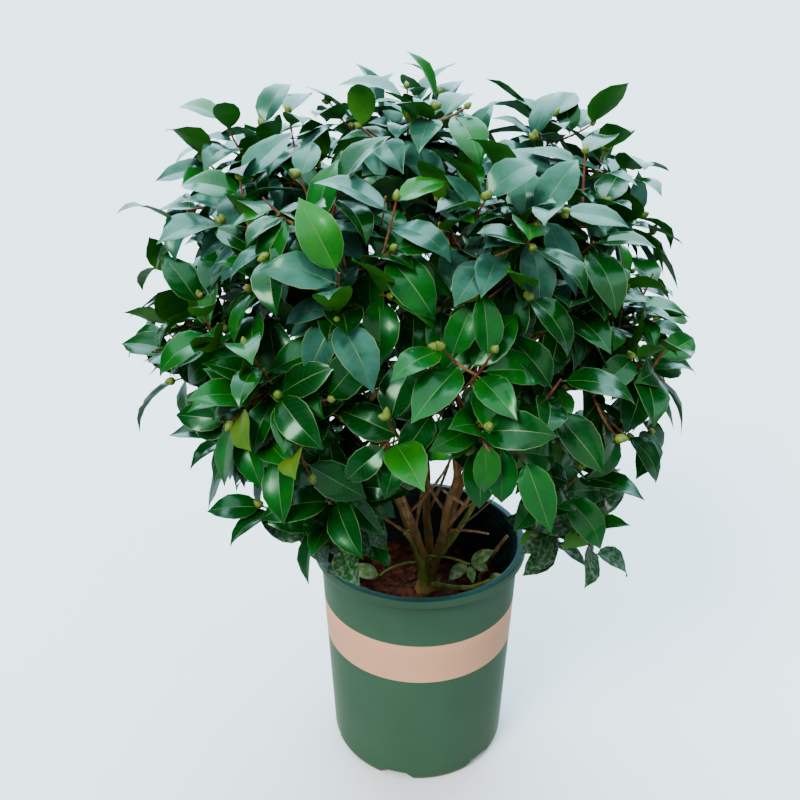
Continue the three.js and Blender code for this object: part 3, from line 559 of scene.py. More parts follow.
wood_bark = bark_finish("wood_bark", (0.190, 0.074, 0.022), (0.520, 0.235, 0.080),
                        (0.190, 0.220, 0.030), 400.0, 270.0)
TRUNK_RADII = (13.0, 10.5)
TRUNK_FLARE = 4.0
trunk_curve = np.stack([
    TRUNK_FOOT - 4.0 * UP, 0.5 * (TRUNK_FOOT + FORK) - 2.0 * UP, FORK + 4.0 * UP])
trunk_points, trunk_faces = bark_limb(trunk_curve, TRUNK_RADII, 0.7, TRUNK_FLARE)
trunk = add_piece("trunk_bark", trunk_points, trunk_faces, [wood_bark], crease_deg=75.0)
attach(trunk, "root")
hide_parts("trunk")

# Dressed limbs are a little slimmer than the solids, whose sides stand in for their swellings.
LIMB_SLIMMING = 0.86

limb_radii = [STEM_RADII] * STEM_COUNT + [BOUGH_RADII] * (MASS_COUNT - STEM_COUNT)
limb_forms = [bark_limb(curve, LIMB_SLIMMING * np.array(radii), 1.3 * k)
              for k, (curve, radii) in enumerate(zip(limb_curves, limb_radii))]
limb_points, limb_faces = joined(limb_forms)
limbs = add_piece("limb_bark", limb_points, limb_faces, [wood_bark], crease_deg=75.0)
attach(limbs, "root")
limb_nodes = [f"stem_{k + 1}" for k in range(STEM_COUNT)]
limb_nodes += [f"bough_{name}" for name in mass_names[STEM_COUNT:]]
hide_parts(*limb_nodes)


# Twigs: each mass has a stem that grows on from its limb, twigs that leave the stem at a slant
# and end in shoots, and finer twigs on those. Older wood is tan, this year's shoots red-brown.
COARSE_SHOOTS = 106
ALL_SHOOTS = 345
SHOOT_RISE = 0.12
LEAF_STANDOFF = 38.0
DEPTH_RANGE = 0.2
FINE_DEPTH_RANGE = 0.34
TOWARD_MASS = 0.08
UPWARD_BIAS = 0.8
LOWEST_ELEVATION = -58.0
OPEN_FRONT_ELEVATION = -10.0
OPEN_FRONT_AZIMUTH = 282.0
OPEN_FRONT_HALF_WIDTH = 34.0
TWIG_SIDES = 6
TWIG_STEPS = 9
YOUNG_LENGTH = 0.45
YOUNG_OVERLAP = 0.01
TWIG_RADII = (2.6, 1.9, 1.5)
YOUNG_RADIUS = 1.2
TIP_RADIUS = 1.1
POT_CLEARANCE = 6.0


def reach_along(out):
    """How far the crown stands out along each direction: the near masses' reach, blended."""
    near = np.exp(REACH_SHARPNESS * (out @ mass_out.T - 1.0))
    return near @ mass_reach / near.sum(1)


def lowest_elevation(azimuth):
    """The lowest elevation that foliage takes at an azimuth: higher over the open front."""
    away = np.abs((azimuth - OPEN_FRONT_AZIMUTH + 540.0) % 360.0 - 180.0)
    shut = smoothstep(away, 0.6 * OPEN_FRONT_HALF_WIDTH, OPEN_FRONT_HALF_WIDTH)
    return between((OPEN_FRONT_ELEVATION, LOWEST_ELEVATION), shut)


def twig_curves(carrier, tips, index, slant, highest):
    """A twig leaves its carrier at a slant, bows under by 0.12 of its span, and ends at its tip."""
    chord = carrier[:, 2] - carrier[:, 0]
    length = np.linalg.norm(chord, axis=1)
    ahead = np.einsum("ij,ij->i", tips - carrier[:, 0], chord) / length
    aside = np.sqrt(np.maximum(0.0, ((tips - carrier[:, 0]) ** 2).sum(1) - ahead ** 2))
    leave = np.clip((ahead - slant * aside) / length, 0.05, highest)
    leave = leave + 0.1 * fraction(index, SPREAD_STEPS[0])
    foot = on_curve(carrier, leave[:, None])[:, 0]
    span = np.linalg.norm(tips - foot, axis=1, keepdims=True)
    return np.stack([foot, foot + 0.55 * (tips - foot) - SHOOT_RISE * span * UP, tips], 1)


def end_heading(curves):
    """Unit directions of curves at their ends, where they come straight from the elbow."""
    return unit(curves[:, 2] - curves[:, 1])


def nearest(points, others, further=0.0):
    """For each point the number of the nearest of the others, some of which count as further."""
    return np.argmin(np.linalg.norm(points[:, None] - others[None], axis=2) + further, axis=1)


limb_heading = end_heading(limb_curves)
stem_start = mass_root - 1.0 * limb_heading
stem_end = CROWN_CENTRE + mass_out * (mass_reach - LEAF_STANDOFF)[:, None]
stem_span = np.linalg.norm(stem_end - stem_start, axis=1, keepdims=True)
mass_stems = np.stack([stem_start, stem_start + 0.5 * stem_span * limb_heading, stem_end], 1)

shoot_index = np.arange(1, ALL_SHOOTS + 1)
shoot_azimuth = 360.0 * fraction(shoot_index, SPREAD_STEPS[0])
lowest_sine = math.sin(math.radians(LOWEST_ELEVATION))
shoot_sine = lowest_sine + (1 - lowest_sine) * fraction(shoot_index, SPREAD_STEPS[1]) ** UPWARD_BIAS
shoot_elevation = np.degrees(np.arcsin(shoot_sine))
kept = shoot_elevation > lowest_elevation(shoot_azimuth)
shoot_index = shoot_index[kept]
shoot_out = direction(shoot_azimuth[kept], shoot_elevation[kept])
depth_range = np.where(shoot_index <= COARSE_SHOOTS, DEPTH_RANGE, FINE_DEPTH_RANGE)
shoot_depth = 1.0 - depth_range * fraction(shoot_index, SPREAD_STEPS[2])
shoot_reach = (reach_along(shoot_out) - LEAF_STANDOFF) * shoot_depth
shoot_tip = CROWN_CENTRE + shoot_out * shoot_reach[:, None]
shoot_mass = nearest(shoot_tip, mass_seed)
shoot_middle = CROWN_CENTRE + mass_out[shoot_mass] * shoot_reach[:, None]
shoot_tip = shoot_tip + TOWARD_MASS * (shoot_middle - shoot_tip)

coarse = shoot_index <= COARSE_SHOOTS
coarse_curves = twig_curves(mass_stems[shoot_mass[coarse]], shoot_tip[coarse],
                            shoot_index[coarse], slant=0.9, highest=0.8)
# The strongest shoots stand out of the crown's outline. They lead the finer twigs, each of which
# grows on the coarse twig of its own mass whose tip is nearest.
LEADING_TIPS = np.array([
    (202, 60, 880), (133, 100, 890), (-8, 160, 902), (-190, 50, 880), (-90, 180, 862),
    (262, 20, 778), (-299, -20, 653), (-297, 0, 777), (284, -20, 661), (23, 140, 905),
    (-260, 40, 842), (219, 50, 852), (-236, 50, 888), (-84, -100, 438), (162, -88, 388),
], float)
OTHER_MASS_FURTHER = 1e4
MASS_STEM_NUMBER = 2000
LEADING_NUMBER = 3000
leading_mass = nearest(LEADING_TIPS, mass_seed)
fine_tip = np.concatenate([LEADING_TIPS, shoot_tip[~coarse]])
fine_mass = np.concatenate([leading_mass, shoot_mass[~coarse]])
leading_index = LEADING_NUMBER + np.arange(len(LEADING_TIPS))
fine_index = np.concatenate([leading_index, shoot_index[~coarse]])
further = OTHER_MASS_FURTHER * (fine_mass[:, None] != shoot_mass[coarse])
fine_carrier = coarse_curves[nearest(fine_tip, shoot_tip[coarse], further)]
fine_curves = twig_curves(fine_carrier, fine_tip, fine_index, slant=0.6, highest=0.7)


def clear_of_pot(curves):
    """Whether curves stay outside the pot and above the soil."""
    points = on_curve(curves, np.array([0.3, 0.65, 1.0]))
    beside = np.hypot(points[..., 0], points[..., 1]) > RIM_RADIUS + POT_CLEARANCE
    return (beside | (points[..., 2] > POT_HEIGHT + POT_CLEARANCE)).all(1)


shoot_curves = np.concatenate([mass_stems, coarse_curves, fine_curves])
shoot_number = np.concatenate([
    MASS_STEM_NUMBER + np.arange(MASS_COUNT), shoot_index[coarse], fine_index])
shoot_radius = np.repeat(TWIG_RADII, [MASS_COUNT, coarse.sum(), len(fine_index)])
clear = clear_of_pot(shoot_curves)
shoot_curves, shoot_number = shoot_curves[clear], shoot_number[clear]
shoot_radius = shoot_radius[clear]


def square_to(along, way):
    """The part of each way that is square to along, at length 1."""
    return unit(way - along * (along * way).sum(-1, keepdims=True))


def square_pair(heading, foot_heading):
    """Two directions square to each heading and to each other, the first as upright as it can be.

    Where the foot's heading is steep, the first leans to the back instead.
    """
    upright = np.where(np.abs(foot_heading[..., 2:]) < 0.9, UP, np.array([0.0, 1.0, 0.0]))
    side = square_to(heading, upright)
    return side, np.cross(heading, side)


def tubes(curves, start, end, first_radius, last_radius):
    """Thin closed tubes along stretches of curves, from t = start to t = end.

    The radius goes evenly from first_radius to last_radius, with a faint swelling at every leaf.
    """
    share = np.linspace(0.0, 1.0, TWIG_STEPS)
    t = between((start, end), share)
    centre, heading = on_curve(curves, t), along_curve(curves, t)
    side, other = square_pair(heading, heading[:, :1])
    radius = between((first_radius[:, None], last_radius[:, None]), share)
    radius = radius * (1.0 + 0.10 * np.cos(np.pi * np.arange(TWIG_STEPS)))
    points = ringed(centre, side, other, radius[..., None], TWIG_SIDES)
    return points.reshape(-1, 3), tube_faces(TWIG_STEPS, TWIG_SIDES, len(curves))


split = 1.0 - YOUNG_LENGTH
mid_radius = 0.6 * shoot_radius + 0.4 * YOUNG_RADIUS
tip_radius = np.full(len(shoot_curves), TIP_RADIUS)
old_points, old_faces = tubes(shoot_curves, 0.0, split, shoot_radius, mid_radius)
young_points, young_faces = tubes(shoot_curves, split - YOUNG_OVERLAP, 1.0, mid_radius, tip_radius)
old_bark = finish("old_twig_bark", (0.140, 0.060, 0.022), (0.380, 0.165, 0.055), 8.0, 0.8,
                  grained=(1.0, 0.15))
young_bark = finish("young_twig_bark", (0.110, 0.020, 0.010), (0.230, 0.056, 0.020), 12.0, 0.6)
old_twigs = add_piece("old_twigs", old_points, old_faces, [old_bark])
young_twigs = add_piece("young_twigs", young_points, young_faces, [young_bark])
for twigs in (old_twigs, young_twigs):
    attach(twigs, "root")


# Bare twigs: thin grey-tan wood that has lost its leaves in the shade under the crown. They
# stand off the limbs at all angles.
BARE_COUNT = 110
BARE_LENGTHS = (60.0, 190.0)
BARE_TAPER = 0.55
MOUTH_CLEARANCE = 14.0
RIM_CLEARANCE = 8.0

bare = np.arange(1, BARE_COUNT + 1)
bare_carrier = limb_curves[bare % MASS_COUNT]
bare_leave = (0.06 + 0.88 * fraction(bare, 0.6180))[:, None]
bare_foot = on_curve(bare_carrier, bare_leave)[:, 0]
bare_aim = unit(1.1 * along_curve(bare_carrier, bare_leave)[:, 0]
                + direction(360.0 * fraction(bare, 0.7548), 50.0 * fraction(bare, 0.4656) - 15.0))
bare_length = between(BARE_LENGTHS, fraction(bare, 0.5698))[:, None]
bare_elbow = bare_foot + 0.5 * bare_length * bare_aim + 0.12 * bare_length * direction(
    360.0 * fraction(bare, 0.2451), 60.0 * fraction(bare, 0.3247) - 30.0)
bare_curves = np.stack([bare_foot, bare_elbow, bare_foot + bare_length * bare_aim], 1)
bare_path = on_curve(bare_curves, np.array([0.0, 0.3, 0.6, 0.8, 1.0]))
in_mouth = np.hypot(bare_path[..., 0], bare_path[..., 1]) < RIM_INNER_RADIUS - MOUTH_CLEARANCE
over_rim = bare_path[..., 2] > POT_HEIGHT + RIM_CLEARANCE
stays_clear = (in_mouth | over_rim).all(1)
bare_curves, bare_width = bare_curves[stays_clear], 1.2 + 1.7 * fraction(bare[stays_clear], 0.8192)
bare_points, bare_faces = tubes(bare_curves, 0.0, 1.0, bare_width, BARE_TAPER * bare_width)
dry_bark = finish("dry_bark", (0.20, 0.090, 0.034), (0.52, 0.27, 0.11), 10.0, 0.85,
                  grained=(1.0, 0.15))
bare_twigs = add_piece("bare_twigs", bare_points, bare_faces, [dry_bark])
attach(bare_twigs, "root")


# Leaves: leathery and glossy, 60 to 88 mm long, elliptic with a drawn-out tip that bends down,
# folded up along a pale sunken midrib and edged by a fine pale line. They spiral round each shoot.
LEAVES_PER_SHOOT = 6
LEAF_INTERNODE = 13.0
LEAF_TURN = 137.5
LEAF_LENGTHS = (60.0, 88.0)
LEAF_WIDTH_RATIO = 0.48
LEAF_OPENING = 42.0
LEAF_OPENING_STEP = 10.0
LEAF_DROOPS = (0.22, 0.34)
LEAF_LIFT_BELOW = 0.8
LEAF_ROLL = 0.75
LEAF_THICKNESS = 0.7
LEAF_ROWS = np.array([0.0, 0.085, 0.15, 0.27, 0.43, 0.61, 0.78, 0.91, 1.0])
LEAF_HALF_WIDTHS = np.array([0.0, 0.50, 0.85, 1.0, 0.93, 0.62, 0.20])
LEAF_COLUMNS = np.array([-1.0, -0.96, -0.5, -0.025, 0.025, 0.5, 0.96, 1.0])
PETIOLE_HALF_WIDTH = 1.2
CREASE_DEG = 60.0
LOW_LEAF_SHARE = 0.74
LOW_LEAF_HEIGHTS = (380.0, 520.0)


def leaf_bend(length, seed):
    """How far ahead and how far down each row of a leaf lies: it bends down more and more."""
    bend = (0.25 + 0.75 * fraction(seed, 0.3819))[:, None]
    step, middle_rows = np.diff(LEAF_ROWS), 0.5 * (LEAF_ROWS[1:] + LEAF_ROWS[:-1])
    slope = bend * (1.5 * middle_rows ** 1.6 - 0.15)
    still = np.zeros((len(length), 1))
    ahead = np.concatenate([still, np.cumsum(step * np.cos(slope), 1)], 1) * length[:, None]
    sunk = np.concatenate([still, np.cumsum(step * np.sin(slope), 1)], 1) * length[:, None]
    return ahead, sunk


def leaf_fold(seed):
    """How steeply a leaf's two halves rise from its midrib."""
    return (0.13 + 0.27 * fraction(seed, 0.7391))[:, None]


def leaf_blades(node, along, normal, length, seed):
    """Closed thin leaves: points (leaf, points, 3) and the UV of one leaf's points.

    Each row is as wide as its share of the widest, which draws out the tip. The two halves rise
    from the midrib in a V, the leaf twists and sways sideways a little, and its edge waves.
    """
    count = len(node)
    ahead, sunk = leaf_bend(length, seed)
    sickle = 0.10 * (fraction(seed, 0.5813)[:, None] - 0.5)
    twist = 0.7 * (fraction(seed, 0.2473)[:, None] - 0.5)
    rows, u = LEAF_ROWS[1:-1], LEAF_COLUMNS
    half = 0.5 * LEAF_WIDTH_RATIO * length[:, None] * LEAF_HALF_WIDTHS
    half[:, 0] = PETIOLE_HALF_WIDTH
    width = half[:, :, None] * u
    ripple = np.sin(9.0 * rows[:, None] + 6.28 * fraction(seed, 0.6180)[:, None, None])
    edge_wave = 0.020 * (length[:, None] * LEAF_HALF_WIDTHS)[:, :, None] * ripple * np.abs(u)
    groove = np.where(np.abs(u) < 0.1, -0.35, 0.0)
    lift = leaf_fold(seed)[:, :, None] * np.abs(width) * (1.0 - 0.25 * np.abs(u)) + edge_wave
    height = lift + groove + 0.5 * LEAF_THICKNESS * np.sqrt(1.0 - np.abs(u))
    roll = twist[:, :, None] * rows[:, None]
    sway = sickle[:, :, None] * length[:, None, None] * rows[:, None] ** 2
    under = -0.5 * LEAF_THICKNESS - 0.5 * (1.0 - rows)
    top = np.stack([
        np.broadcast_to(ahead[:, 1:-1, None], width.shape),
        width * np.cos(roll) - height * np.sin(roll) + sway,
        width * np.sin(roll) + height * np.cos(roll) - sunk[:, 1:-1, None]], -1)
    keel = np.stack([
        ahead[:, 1:-1],
        sway[..., 0] - under * np.sin(roll[..., 0]),
        under * np.cos(roll[..., 0]) - sunk[:, 1:-1]], -1)
    foot = np.zeros((count, 1, 3))
    point = np.stack([ahead[:, -1:], sickle * length[:, None], -sunk[:, -1:]], -1)
    rows_of_points = np.concatenate([top, keel[:, :, None]], 2).reshape(count, -1, 3)
    local = np.concatenate([foot, rows_of_points, point], 1)
    axes = np.stack([along, np.cross(normal, along), normal], 1)
    uv_rows = np.stack(np.broadcast_arrays(np.append(u, 0.0), rows[:, None]), -1)
    uv = np.concatenate([[[0.0, 0.0]], uv_rows.reshape(-1, 2), [[0.0, 1.0]]])
    return node[:, None] + local @ axes, uv


leaf_shoot = np.repeat(np.arange(len(shoot_curves)), LEAVES_PER_SHOOT)
leaf_order = np.tile(np.arange(LEAVES_PER_SHOOT), len(shoot_curves))
number = shoot_number[leaf_shoot]
leaf_seed = 13.0 * number + leaf_order
tip = shoot_curves[leaf_shoot, 2]
heading = end_heading(shoot_curves)[leaf_shoot]
outward = unit(tip - CROWN_CENTRE)
leaf_length = between(LEAF_LENGTHS, fraction(number * 7 + leaf_order, SPREAD_STEPS[0]))
leaf_length = leaf_length * between((LOW_LEAF_SHARE, 1.0), smoothstep(tip[:, 2], *LOW_LEAF_HEIGHTS))
last_span = np.linalg.norm(shoot_curves[leaf_shoot, 2] - shoot_curves[leaf_shoot, 1], axis=1)
node_t = np.clip(1.0 - (LEAF_INTERNODE * leaf_order + 3.0) / (2.0 * last_span), 0.0, 1.0)
node = on_curve(shoot_curves[leaf_shoot], node_t[:, None])[:, 0]
over = np.maximum(0.0, outward[:, 2:])
light_side = unit(outward * np.array([1.0, 1.0, 0.0]) + UP * over)
leads = number >= LEADING_NUMBER


def leaf_ways(extra_turn):
    """The way each leaf points and the way it faces, its place round the shoot turned further."""
    side, other = square_pair(heading, heading)
    opening = np.radians(LEAF_OPENING + LEAF_OPENING_STEP * leaf_order)[:, None]
    first_turn = 360.0 * fraction(number, SPREAD_STEPS[1])
    turn = np.radians(LEAF_TURN * leaf_order + first_turn + extra_turn)[:, None]
    droop = between(LEAF_DROOPS, over) * ~leads[:, None]
    along = unit(heading * np.cos(opening) + side * np.sin(opening) * np.cos(turn)
                 + other * np.sin(opening) * np.sin(turn)
                 + UP * (LEAF_LIFT_BELOW * np.maximum(0.0, -outward[:, 2:]) - droop))
    facing = 0.7 * UP + 0.8 * (1.0 - over) * light_side
    normal = square_to(along, facing)
    roll = LEAF_ROLL * (fraction(number * 3 + leaf_order * 17, 0.5309)[:, None] - 0.5)
    return along, normal * np.cos(roll) + np.cross(along, normal) * np.sin(roll)


def crossed(start, end, a, b, c):
    """Whether each segment from start to end passes through its triangle a, b, c."""
    square = np.cross(b - a, c - a)
    size = (square ** 2).sum(1)
    height_start, height_end = ((start - a) * square).sum(1), ((end - a) * square).sum(1)
    with np.errstate(divide="ignore", invalid="ignore"):
        t = height_start / (height_start - height_end)
        place = start + t[:, None] * (end - start) - a
        one = (place * np.cross(c - a, square)).sum(1) / size
        two = (place * np.cross(square, b - a)).sum(1) / size
    return (height_start * height_end < 0) & (one > 0) & (two > 0) & (one + two < 1)


def leaf_clashes(along, normal):
    """Which leaves pass through an earlier one, from midribs, widest lines and flat panels."""
    ahead, sunk = leaf_bend(leaf_length, leaf_seed)
    half = 0.5 * LEAF_WIDTH_RATIO * leaf_length[:, None]
    lift = 0.75 * leaf_fold(leaf_seed) * half
    middle = node + along * ahead[:, 4:5] - normal * sunk[:, 4:5]
    low = node + along * ahead[:, 1:2] - normal * sunk[:, 1:2]
    high = node + along * ahead[:, -1:] - normal * sunk[:, -1:]
    sideways = np.cross(normal, along) * half
    left, right = middle + sideways + normal * lift, middle - sideways + normal * lift
    near = ((middle[:, None] - middle[None]) ** 2).sum(-1) < LEAF_LENGTHS[1] ** 2
    later, earlier = np.nonzero(np.tril(near, -1))
    hit = np.zeros(len(later), bool)
    for one, two in ((later, earlier), (earlier, later)):
        for start, end in ((low, middle), (middle, high), (left, middle), (right, middle)):
            for a, b, c in ((low, left, middle), (low, middle, right),
                            (high, middle, left), (high, right, middle)):
                hit |= crossed(start[one], end[one], a[two], b[two], c[two])
    yields = np.zeros(len(node), bool)
    yields[later[hit]] = True
    return yields


# A leaf that would pass through an earlier one is turned on round its shoot until it is clear.
# One that finds no place there is left out, as is one that would dip into the pot's mouth or
# stand too far out of the crown.
TURN_ON_DEG = 47.0
TURN_TRIES = 9
PAST_REACH = 1.04
OVER_RIM = 10.0
BESIDE_RIM = 8.0

extra_turn = np.zeros(len(node))
for attempt in range(TURN_TRIES):
    along, normal = leaf_ways(extra_turn)
    yields = leaf_clashes(along, normal)
    extra_turn = extra_turn + TURN_ON_DEG * yields * (attempt < TURN_TRIES - 1)
leaf_tip = node + along * leaf_length[:, None]
over_pot = np.hypot(leaf_tip[:, 0], leaf_tip[:, 1]) < RIM_RADIUS + BESIDE_RIM
in_pot = over_pot & (leaf_tip[:, 2] < POT_HEIGHT + OVER_RIM)
spoke = leaf_tip - CROWN_CENTRE
too_far = ~leads & (np.linalg.norm(spoke, axis=1) > PAST_REACH * reach_along(unit(spoke)))

# Where the sky shows through the crown from the front, no leaf grows across the line of sight:
# each opening's place across and up at the crown's middle, and its radius.
SKY_GAPS = np.array([
    (66, 586, 6), (43, 540, 8), (206, 548, 7), (237, 545, 6), (28, 442, 6), (-90, 501, 7),
    (-160, 616, 3), (282, 459, 8)], float)
GAP_MARGIN = 0.08 * LEAF_LENGTHS[1]

eye_mm = 1000.0 * np.array(EYE_M)
sight = unit(np.stack([SKY_GAPS[:, 0], 0 * SKY_GAPS[:, 0], SKY_GAPS[:, 1]], 1) - eye_mm)
quarters = leaf_length[:, None] * np.array([0.25, 0.5, 0.75])
along_leaf = node[:, None] + along[:, None] * quarters[..., None]
off_sight = np.linalg.norm(np.cross((along_leaf - eye_mm)[:, :, None], sight), axis=-1)
in_gap = (off_sight < SKY_GAPS[:, 2] + GAP_MARGIN).any((1, 2))
grown = ~(in_pot | too_far | yields | in_gap)


def leaf_faces():
    """One leaf's quads and triangles, and each one's paint: 0 blade, 1 midrib and petiole, 2
    edge, 3 underside. Point 0 is the foot and the last is the tip; each row between has eight
    points across the top and the keel below, and is closed like a tube."""
    inner, across = len(LEAF_ROWS) - 2, len(LEAF_COLUMNS) + 1
    j = np.arange(across)
    beside, last_row, point = (j + 1) % across, 1 + across * (inner - 1), 1 + across * inner
    row_paint = np.array([2, 0, 0, 1, 0, 0, 2, 3, 3])
    quad_paint = np.tile(row_paint, inner - 1)
    quads = 1 + grid_faces(inner, across)[:, [0, 3, 2, 1]]
    # Quads of the underside are split along their other diagonal.
    quads[quad_paint == 3] = np.roll(quads[quad_paint == 3], 1, axis=1)
    triangles = np.concatenate([
        np.stack([0 * j, 1 + j, 1 + beside], -1),
        np.stack([last_row + j, point + 0 * j, last_row + beside], -1)])
    triangle_paint = np.concatenate([np.ones_like(row_paint), row_paint])
    return [quads, triangles], [quad_paint, triangle_paint]


def add_leaves(name, foot, along, normal, length, seed, skins):
    """One mesh of leaves, with the skins of their blade, midrib, edge and underside."""
    points, uv = leaf_blades(foot, along, normal, length, seed)
    faces, paint = leaf_faces()
    count, each = points.shape[:2]
    return add_piece(name, points.reshape(-1, 3), [repeated(kind, count, each) for kind in faces],
                     skins, [np.tile(kind, count) for kind in paint],
                     blade=np.tile(uv, (count, 1)), crease_deg=CREASE_DEG)


def veined(material, pale, strength):
    """Side veins over the blade's colour: pale sunken lines where sin(70 (v - 0.16 |u|)) is high,
    so that they slant from the midrib towards the tip."""
    place = add_node(material, "ShaderNodeUVMap")
    place.uv_map = "blade"
    apart = add_node(material, "ShaderNodeSeparateXYZ", place.outputs["UV"])
    away = worked_out(material, "ABSOLUTE", apart.outputs["X"])
    slant = worked_out(material, "MULTIPLY_ADD", away, -0.16, apart.outputs["Y"])
    wave = worked_out(material, "SINE", worked_out(material, "MULTIPLY", slant, 70.0))
    line = add_node(material, "ShaderNodeMapRange", Value=wave, From_Min=0.6, From_Max=1.0,
                    To_Max=strength).outputs["Result"]
    blend(material, line, (*pale, 1.0))
    raised = add_node(material, "ShaderNodeBump", Strength=0.22, Distance=0.0004, Height=line)
    raised.invert = True
    cover(material, Normal=raised.outputs["Normal"])


def srgb(red, green, blue):
    """A colour of 0 to 255 as the eye sees it, as the shader's linear one."""
    values = np.array([red, green, blue]) / 255.0
    return tuple(np.where(values <= 0.04045, values / 12.92, ((values + 0.055) / 1.055) ** 2.4))


# Each shade's dark and light tone, the size of its patches, its roughness and its patches' edges.
SHADES = {
    "deep": (srgb(0, 42, 2), srgb(0, 60, 5), 34.0, 0.26),
    "mid": (srgb(0, 60, 2), srgb(1, 84, 6), 34.0, 0.28),
    # A blue-grey tone of painted sheen, for the sky's reflection on the topmost leaves.
    "waxy": (srgb(8, 56, 38), srgb(52, 101, 88), 26.0, 0.34, (0.30, 0.70)),
    "bright": (srgb(10, 86, 2), srgb(26, 106, 5), 34.0, 0.36),
    "olive": (srgb(56, 90, 0), srgb(84, 108, 1), 34.0, 0.60),
    "dusty": (srgb(8, 52, 12), srgb(124, 134, 120), 5.0, 0.62, (0.46, 0.88)),
}
DEEP_SHARE = 0.62
# Shares and heights of the painted sheen on the topmost sprays.
PAINTED_SHEEN_SHARE = 0.88
PAINTED_SHEEN_HEIGHTS = (665.0, 220.0)
PAINTED_SHEEN_BEHIND = 0.25
BRIGHT_SHARE = 0.15
BRIGHT_ABOVE = 560.0
OLIVE_SHARE = 0.004
DUSTY_SHARE = 0.8
DUSTY_HEIGHTS = (400.0, 150.0)
deal = fraction(number, 0.4142)
leaf_deal = fraction(number * 11 + leaf_order * 5, 0.7548)
sheen_deal = fraction(number, 0.2361)
shade = np.where(deal < DEEP_SHARE, "deep", "mid")
# The topmost sprays, and more of those behind, take a blue-grey tone: painted sheen that
# stands in for the bright sky's reflection on the leaves that face up.
sheen_line = PAINTED_SHEEN_HEIGHTS[0] + PAINTED_SHEEN_HEIGHTS[1] * sheen_deal
waxy = (tip[:, 2] + PAINTED_SHEEN_BEHIND * tip[:, 1] > sheen_line) & (leaf_deal < PAINTED_SHEEN_SHARE)
shade = np.where(waxy, "waxy", shade)
# The youngest leaves of the upper sprays are a lighter yellow-green: partly their own fresh colour,
# partly painted light that shines through them from the sky behind.
bright = (leaf_order < 2) & (leaf_deal < BRIGHT_SHARE) & (tip[:, 2] > BRIGHT_ABOVE)
shade = np.where(bright, "bright", shade)
shade = np.where(leaf_deal > 1.0 - OLIVE_SHARE, "olive", shade)
dust_line = DUSTY_HEIGHTS[0] + DUSTY_HEIGHTS[1] * deal
shade = np.where((tip[:, 2] < dust_line) & (leaf_deal < DUSTY_SHARE), "dusty", shade)
# Some leaves have yellowed. Each is given by its place across and up at the crown's middle, and
# is the leaf that the eye meets there.
YELLOWED_AT = np.array([(-315, 789), (-265, 488), (-166, 469), (26, 680)], float)
ASIDE_COUNTS = 8.0
to_yellowed = unit(np.insert(YELLOWED_AT, 1, 0.0, 1) - eye_mm)
middle_leaf = node + 0.5 * along * leaf_length[:, None] - eye_mm
off_line = np.linalg.norm(np.cross(middle_leaf[:, None], to_yellowed), axis=-1)
reached = middle_leaf @ to_yellowed.T + ASIDE_COUNTS * off_line
shade[np.where(grown[:, None], reached, np.inf).argmin(0)] = "olive"

midrib_skin = finish("midrib_skin", srgb(48, 90, 30), srgb(78, 116, 50), 25.0, 0.4)
edge_skin = finish("edge_skin", srgb(40, 84, 28), srgb(94, 124, 62), 20.0, 0.45)
# The underside is a vivid green: partly the leaf's own paler underside, partly painted light that
# shines through the leaf from behind.
underside_glow_skin = finish("underside_glow_skin", srgb(36, 110, 3), srgb(66, 138, 8), 30.0, 0.5)
PALE_VEIN = srgb(90, 140, 70)
shared_skins = [midrib_skin, edge_skin, underside_glow_skin]
for name, look in SHADES.items():
    chosen = grown & (shade == name)
    blade_skin = finish(f"leaf_{name}", *look, Coat_Weight=0.26, Coat_Roughness=0.14,
                        Specular_IOR_Level=0.4, Specular_Tint=(0.22, 0.90, 0.42, 1.0))
    veined(blade_skin, 0.7 * np.array(look[1]) + 0.3 * np.array(PALE_VEIN), 0.09)
    leaves = add_leaves(f"leaves_{name}", node[chosen], along[chosen], normal[chosen],
                        leaf_length[chosen], leaf_seed[chosen], [blade_skin, *shared_skins])
    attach(leaves, "root")
    if name == "deep":
        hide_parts(*[f"foliage_{mass}" for mass in mass_names])


# Low growth on the trunk: a pruned stub with its orange cut, a leaning stem, a dead stub, a mossy
# shoot that lies over the soil, and two thin green shoots with small dusty leaves.
# Each stem's foot, elbow and end, and its radius at the foot and at the end.
LOW_STEMS = {
    "pruned_stub": ((9, -6, 256), (2, -14, 312), (-17, -20, 352), 6.5, 5.4),
    "leaning_stem": ((18, -5, 290), (46, -16, 338), (84, -26, 424), 5.0, 2.8),
    "dead_stub": ((86, -8, 246), (88, -12, 296), (121, -13, 342), 3.2, 2.2),
    "mossy_shoot": ((18, -8, 258), (62, -22, 250), (99, -28, 279), 3.6, 2.4),
    "right_shoot": ((4, -8, 300), (34, -30, 326), (68, -40, 314), 1.9, 1.3),
    "left_shoot": ((2, -4, 290), (-26, -24, 314), (-54, -44, 298), 1.8, 1.2),
}
moss_bark = bark_finish("moss_bark", (0.160, 0.140, 0.030), (0.420, 0.440, 0.080),
                        (0.260, 0.390, 0.040), 420.0, 250.0)
low_forms = {
    name: bark_limb(np.array([foot, elbow, end], float), (first, last), 0.37 * len(name))
    for name, (foot, elbow, end, first, last) in LOW_STEMS.items()}
living = [name for name in LOW_STEMS if name != "dead_stub"]
for piece_name, kinds, skin in (("low_stems", living, moss_bark),
                                ("dead_stub", ["dead_stub"], dry_bark)):
    low_points, low_faces = joined([low_forms[kind] for kind in kinds])
    low_wood = add_piece(piece_name, low_points, low_faces, [skin], crease_deg=75.0)
    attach(low_wood, "root")

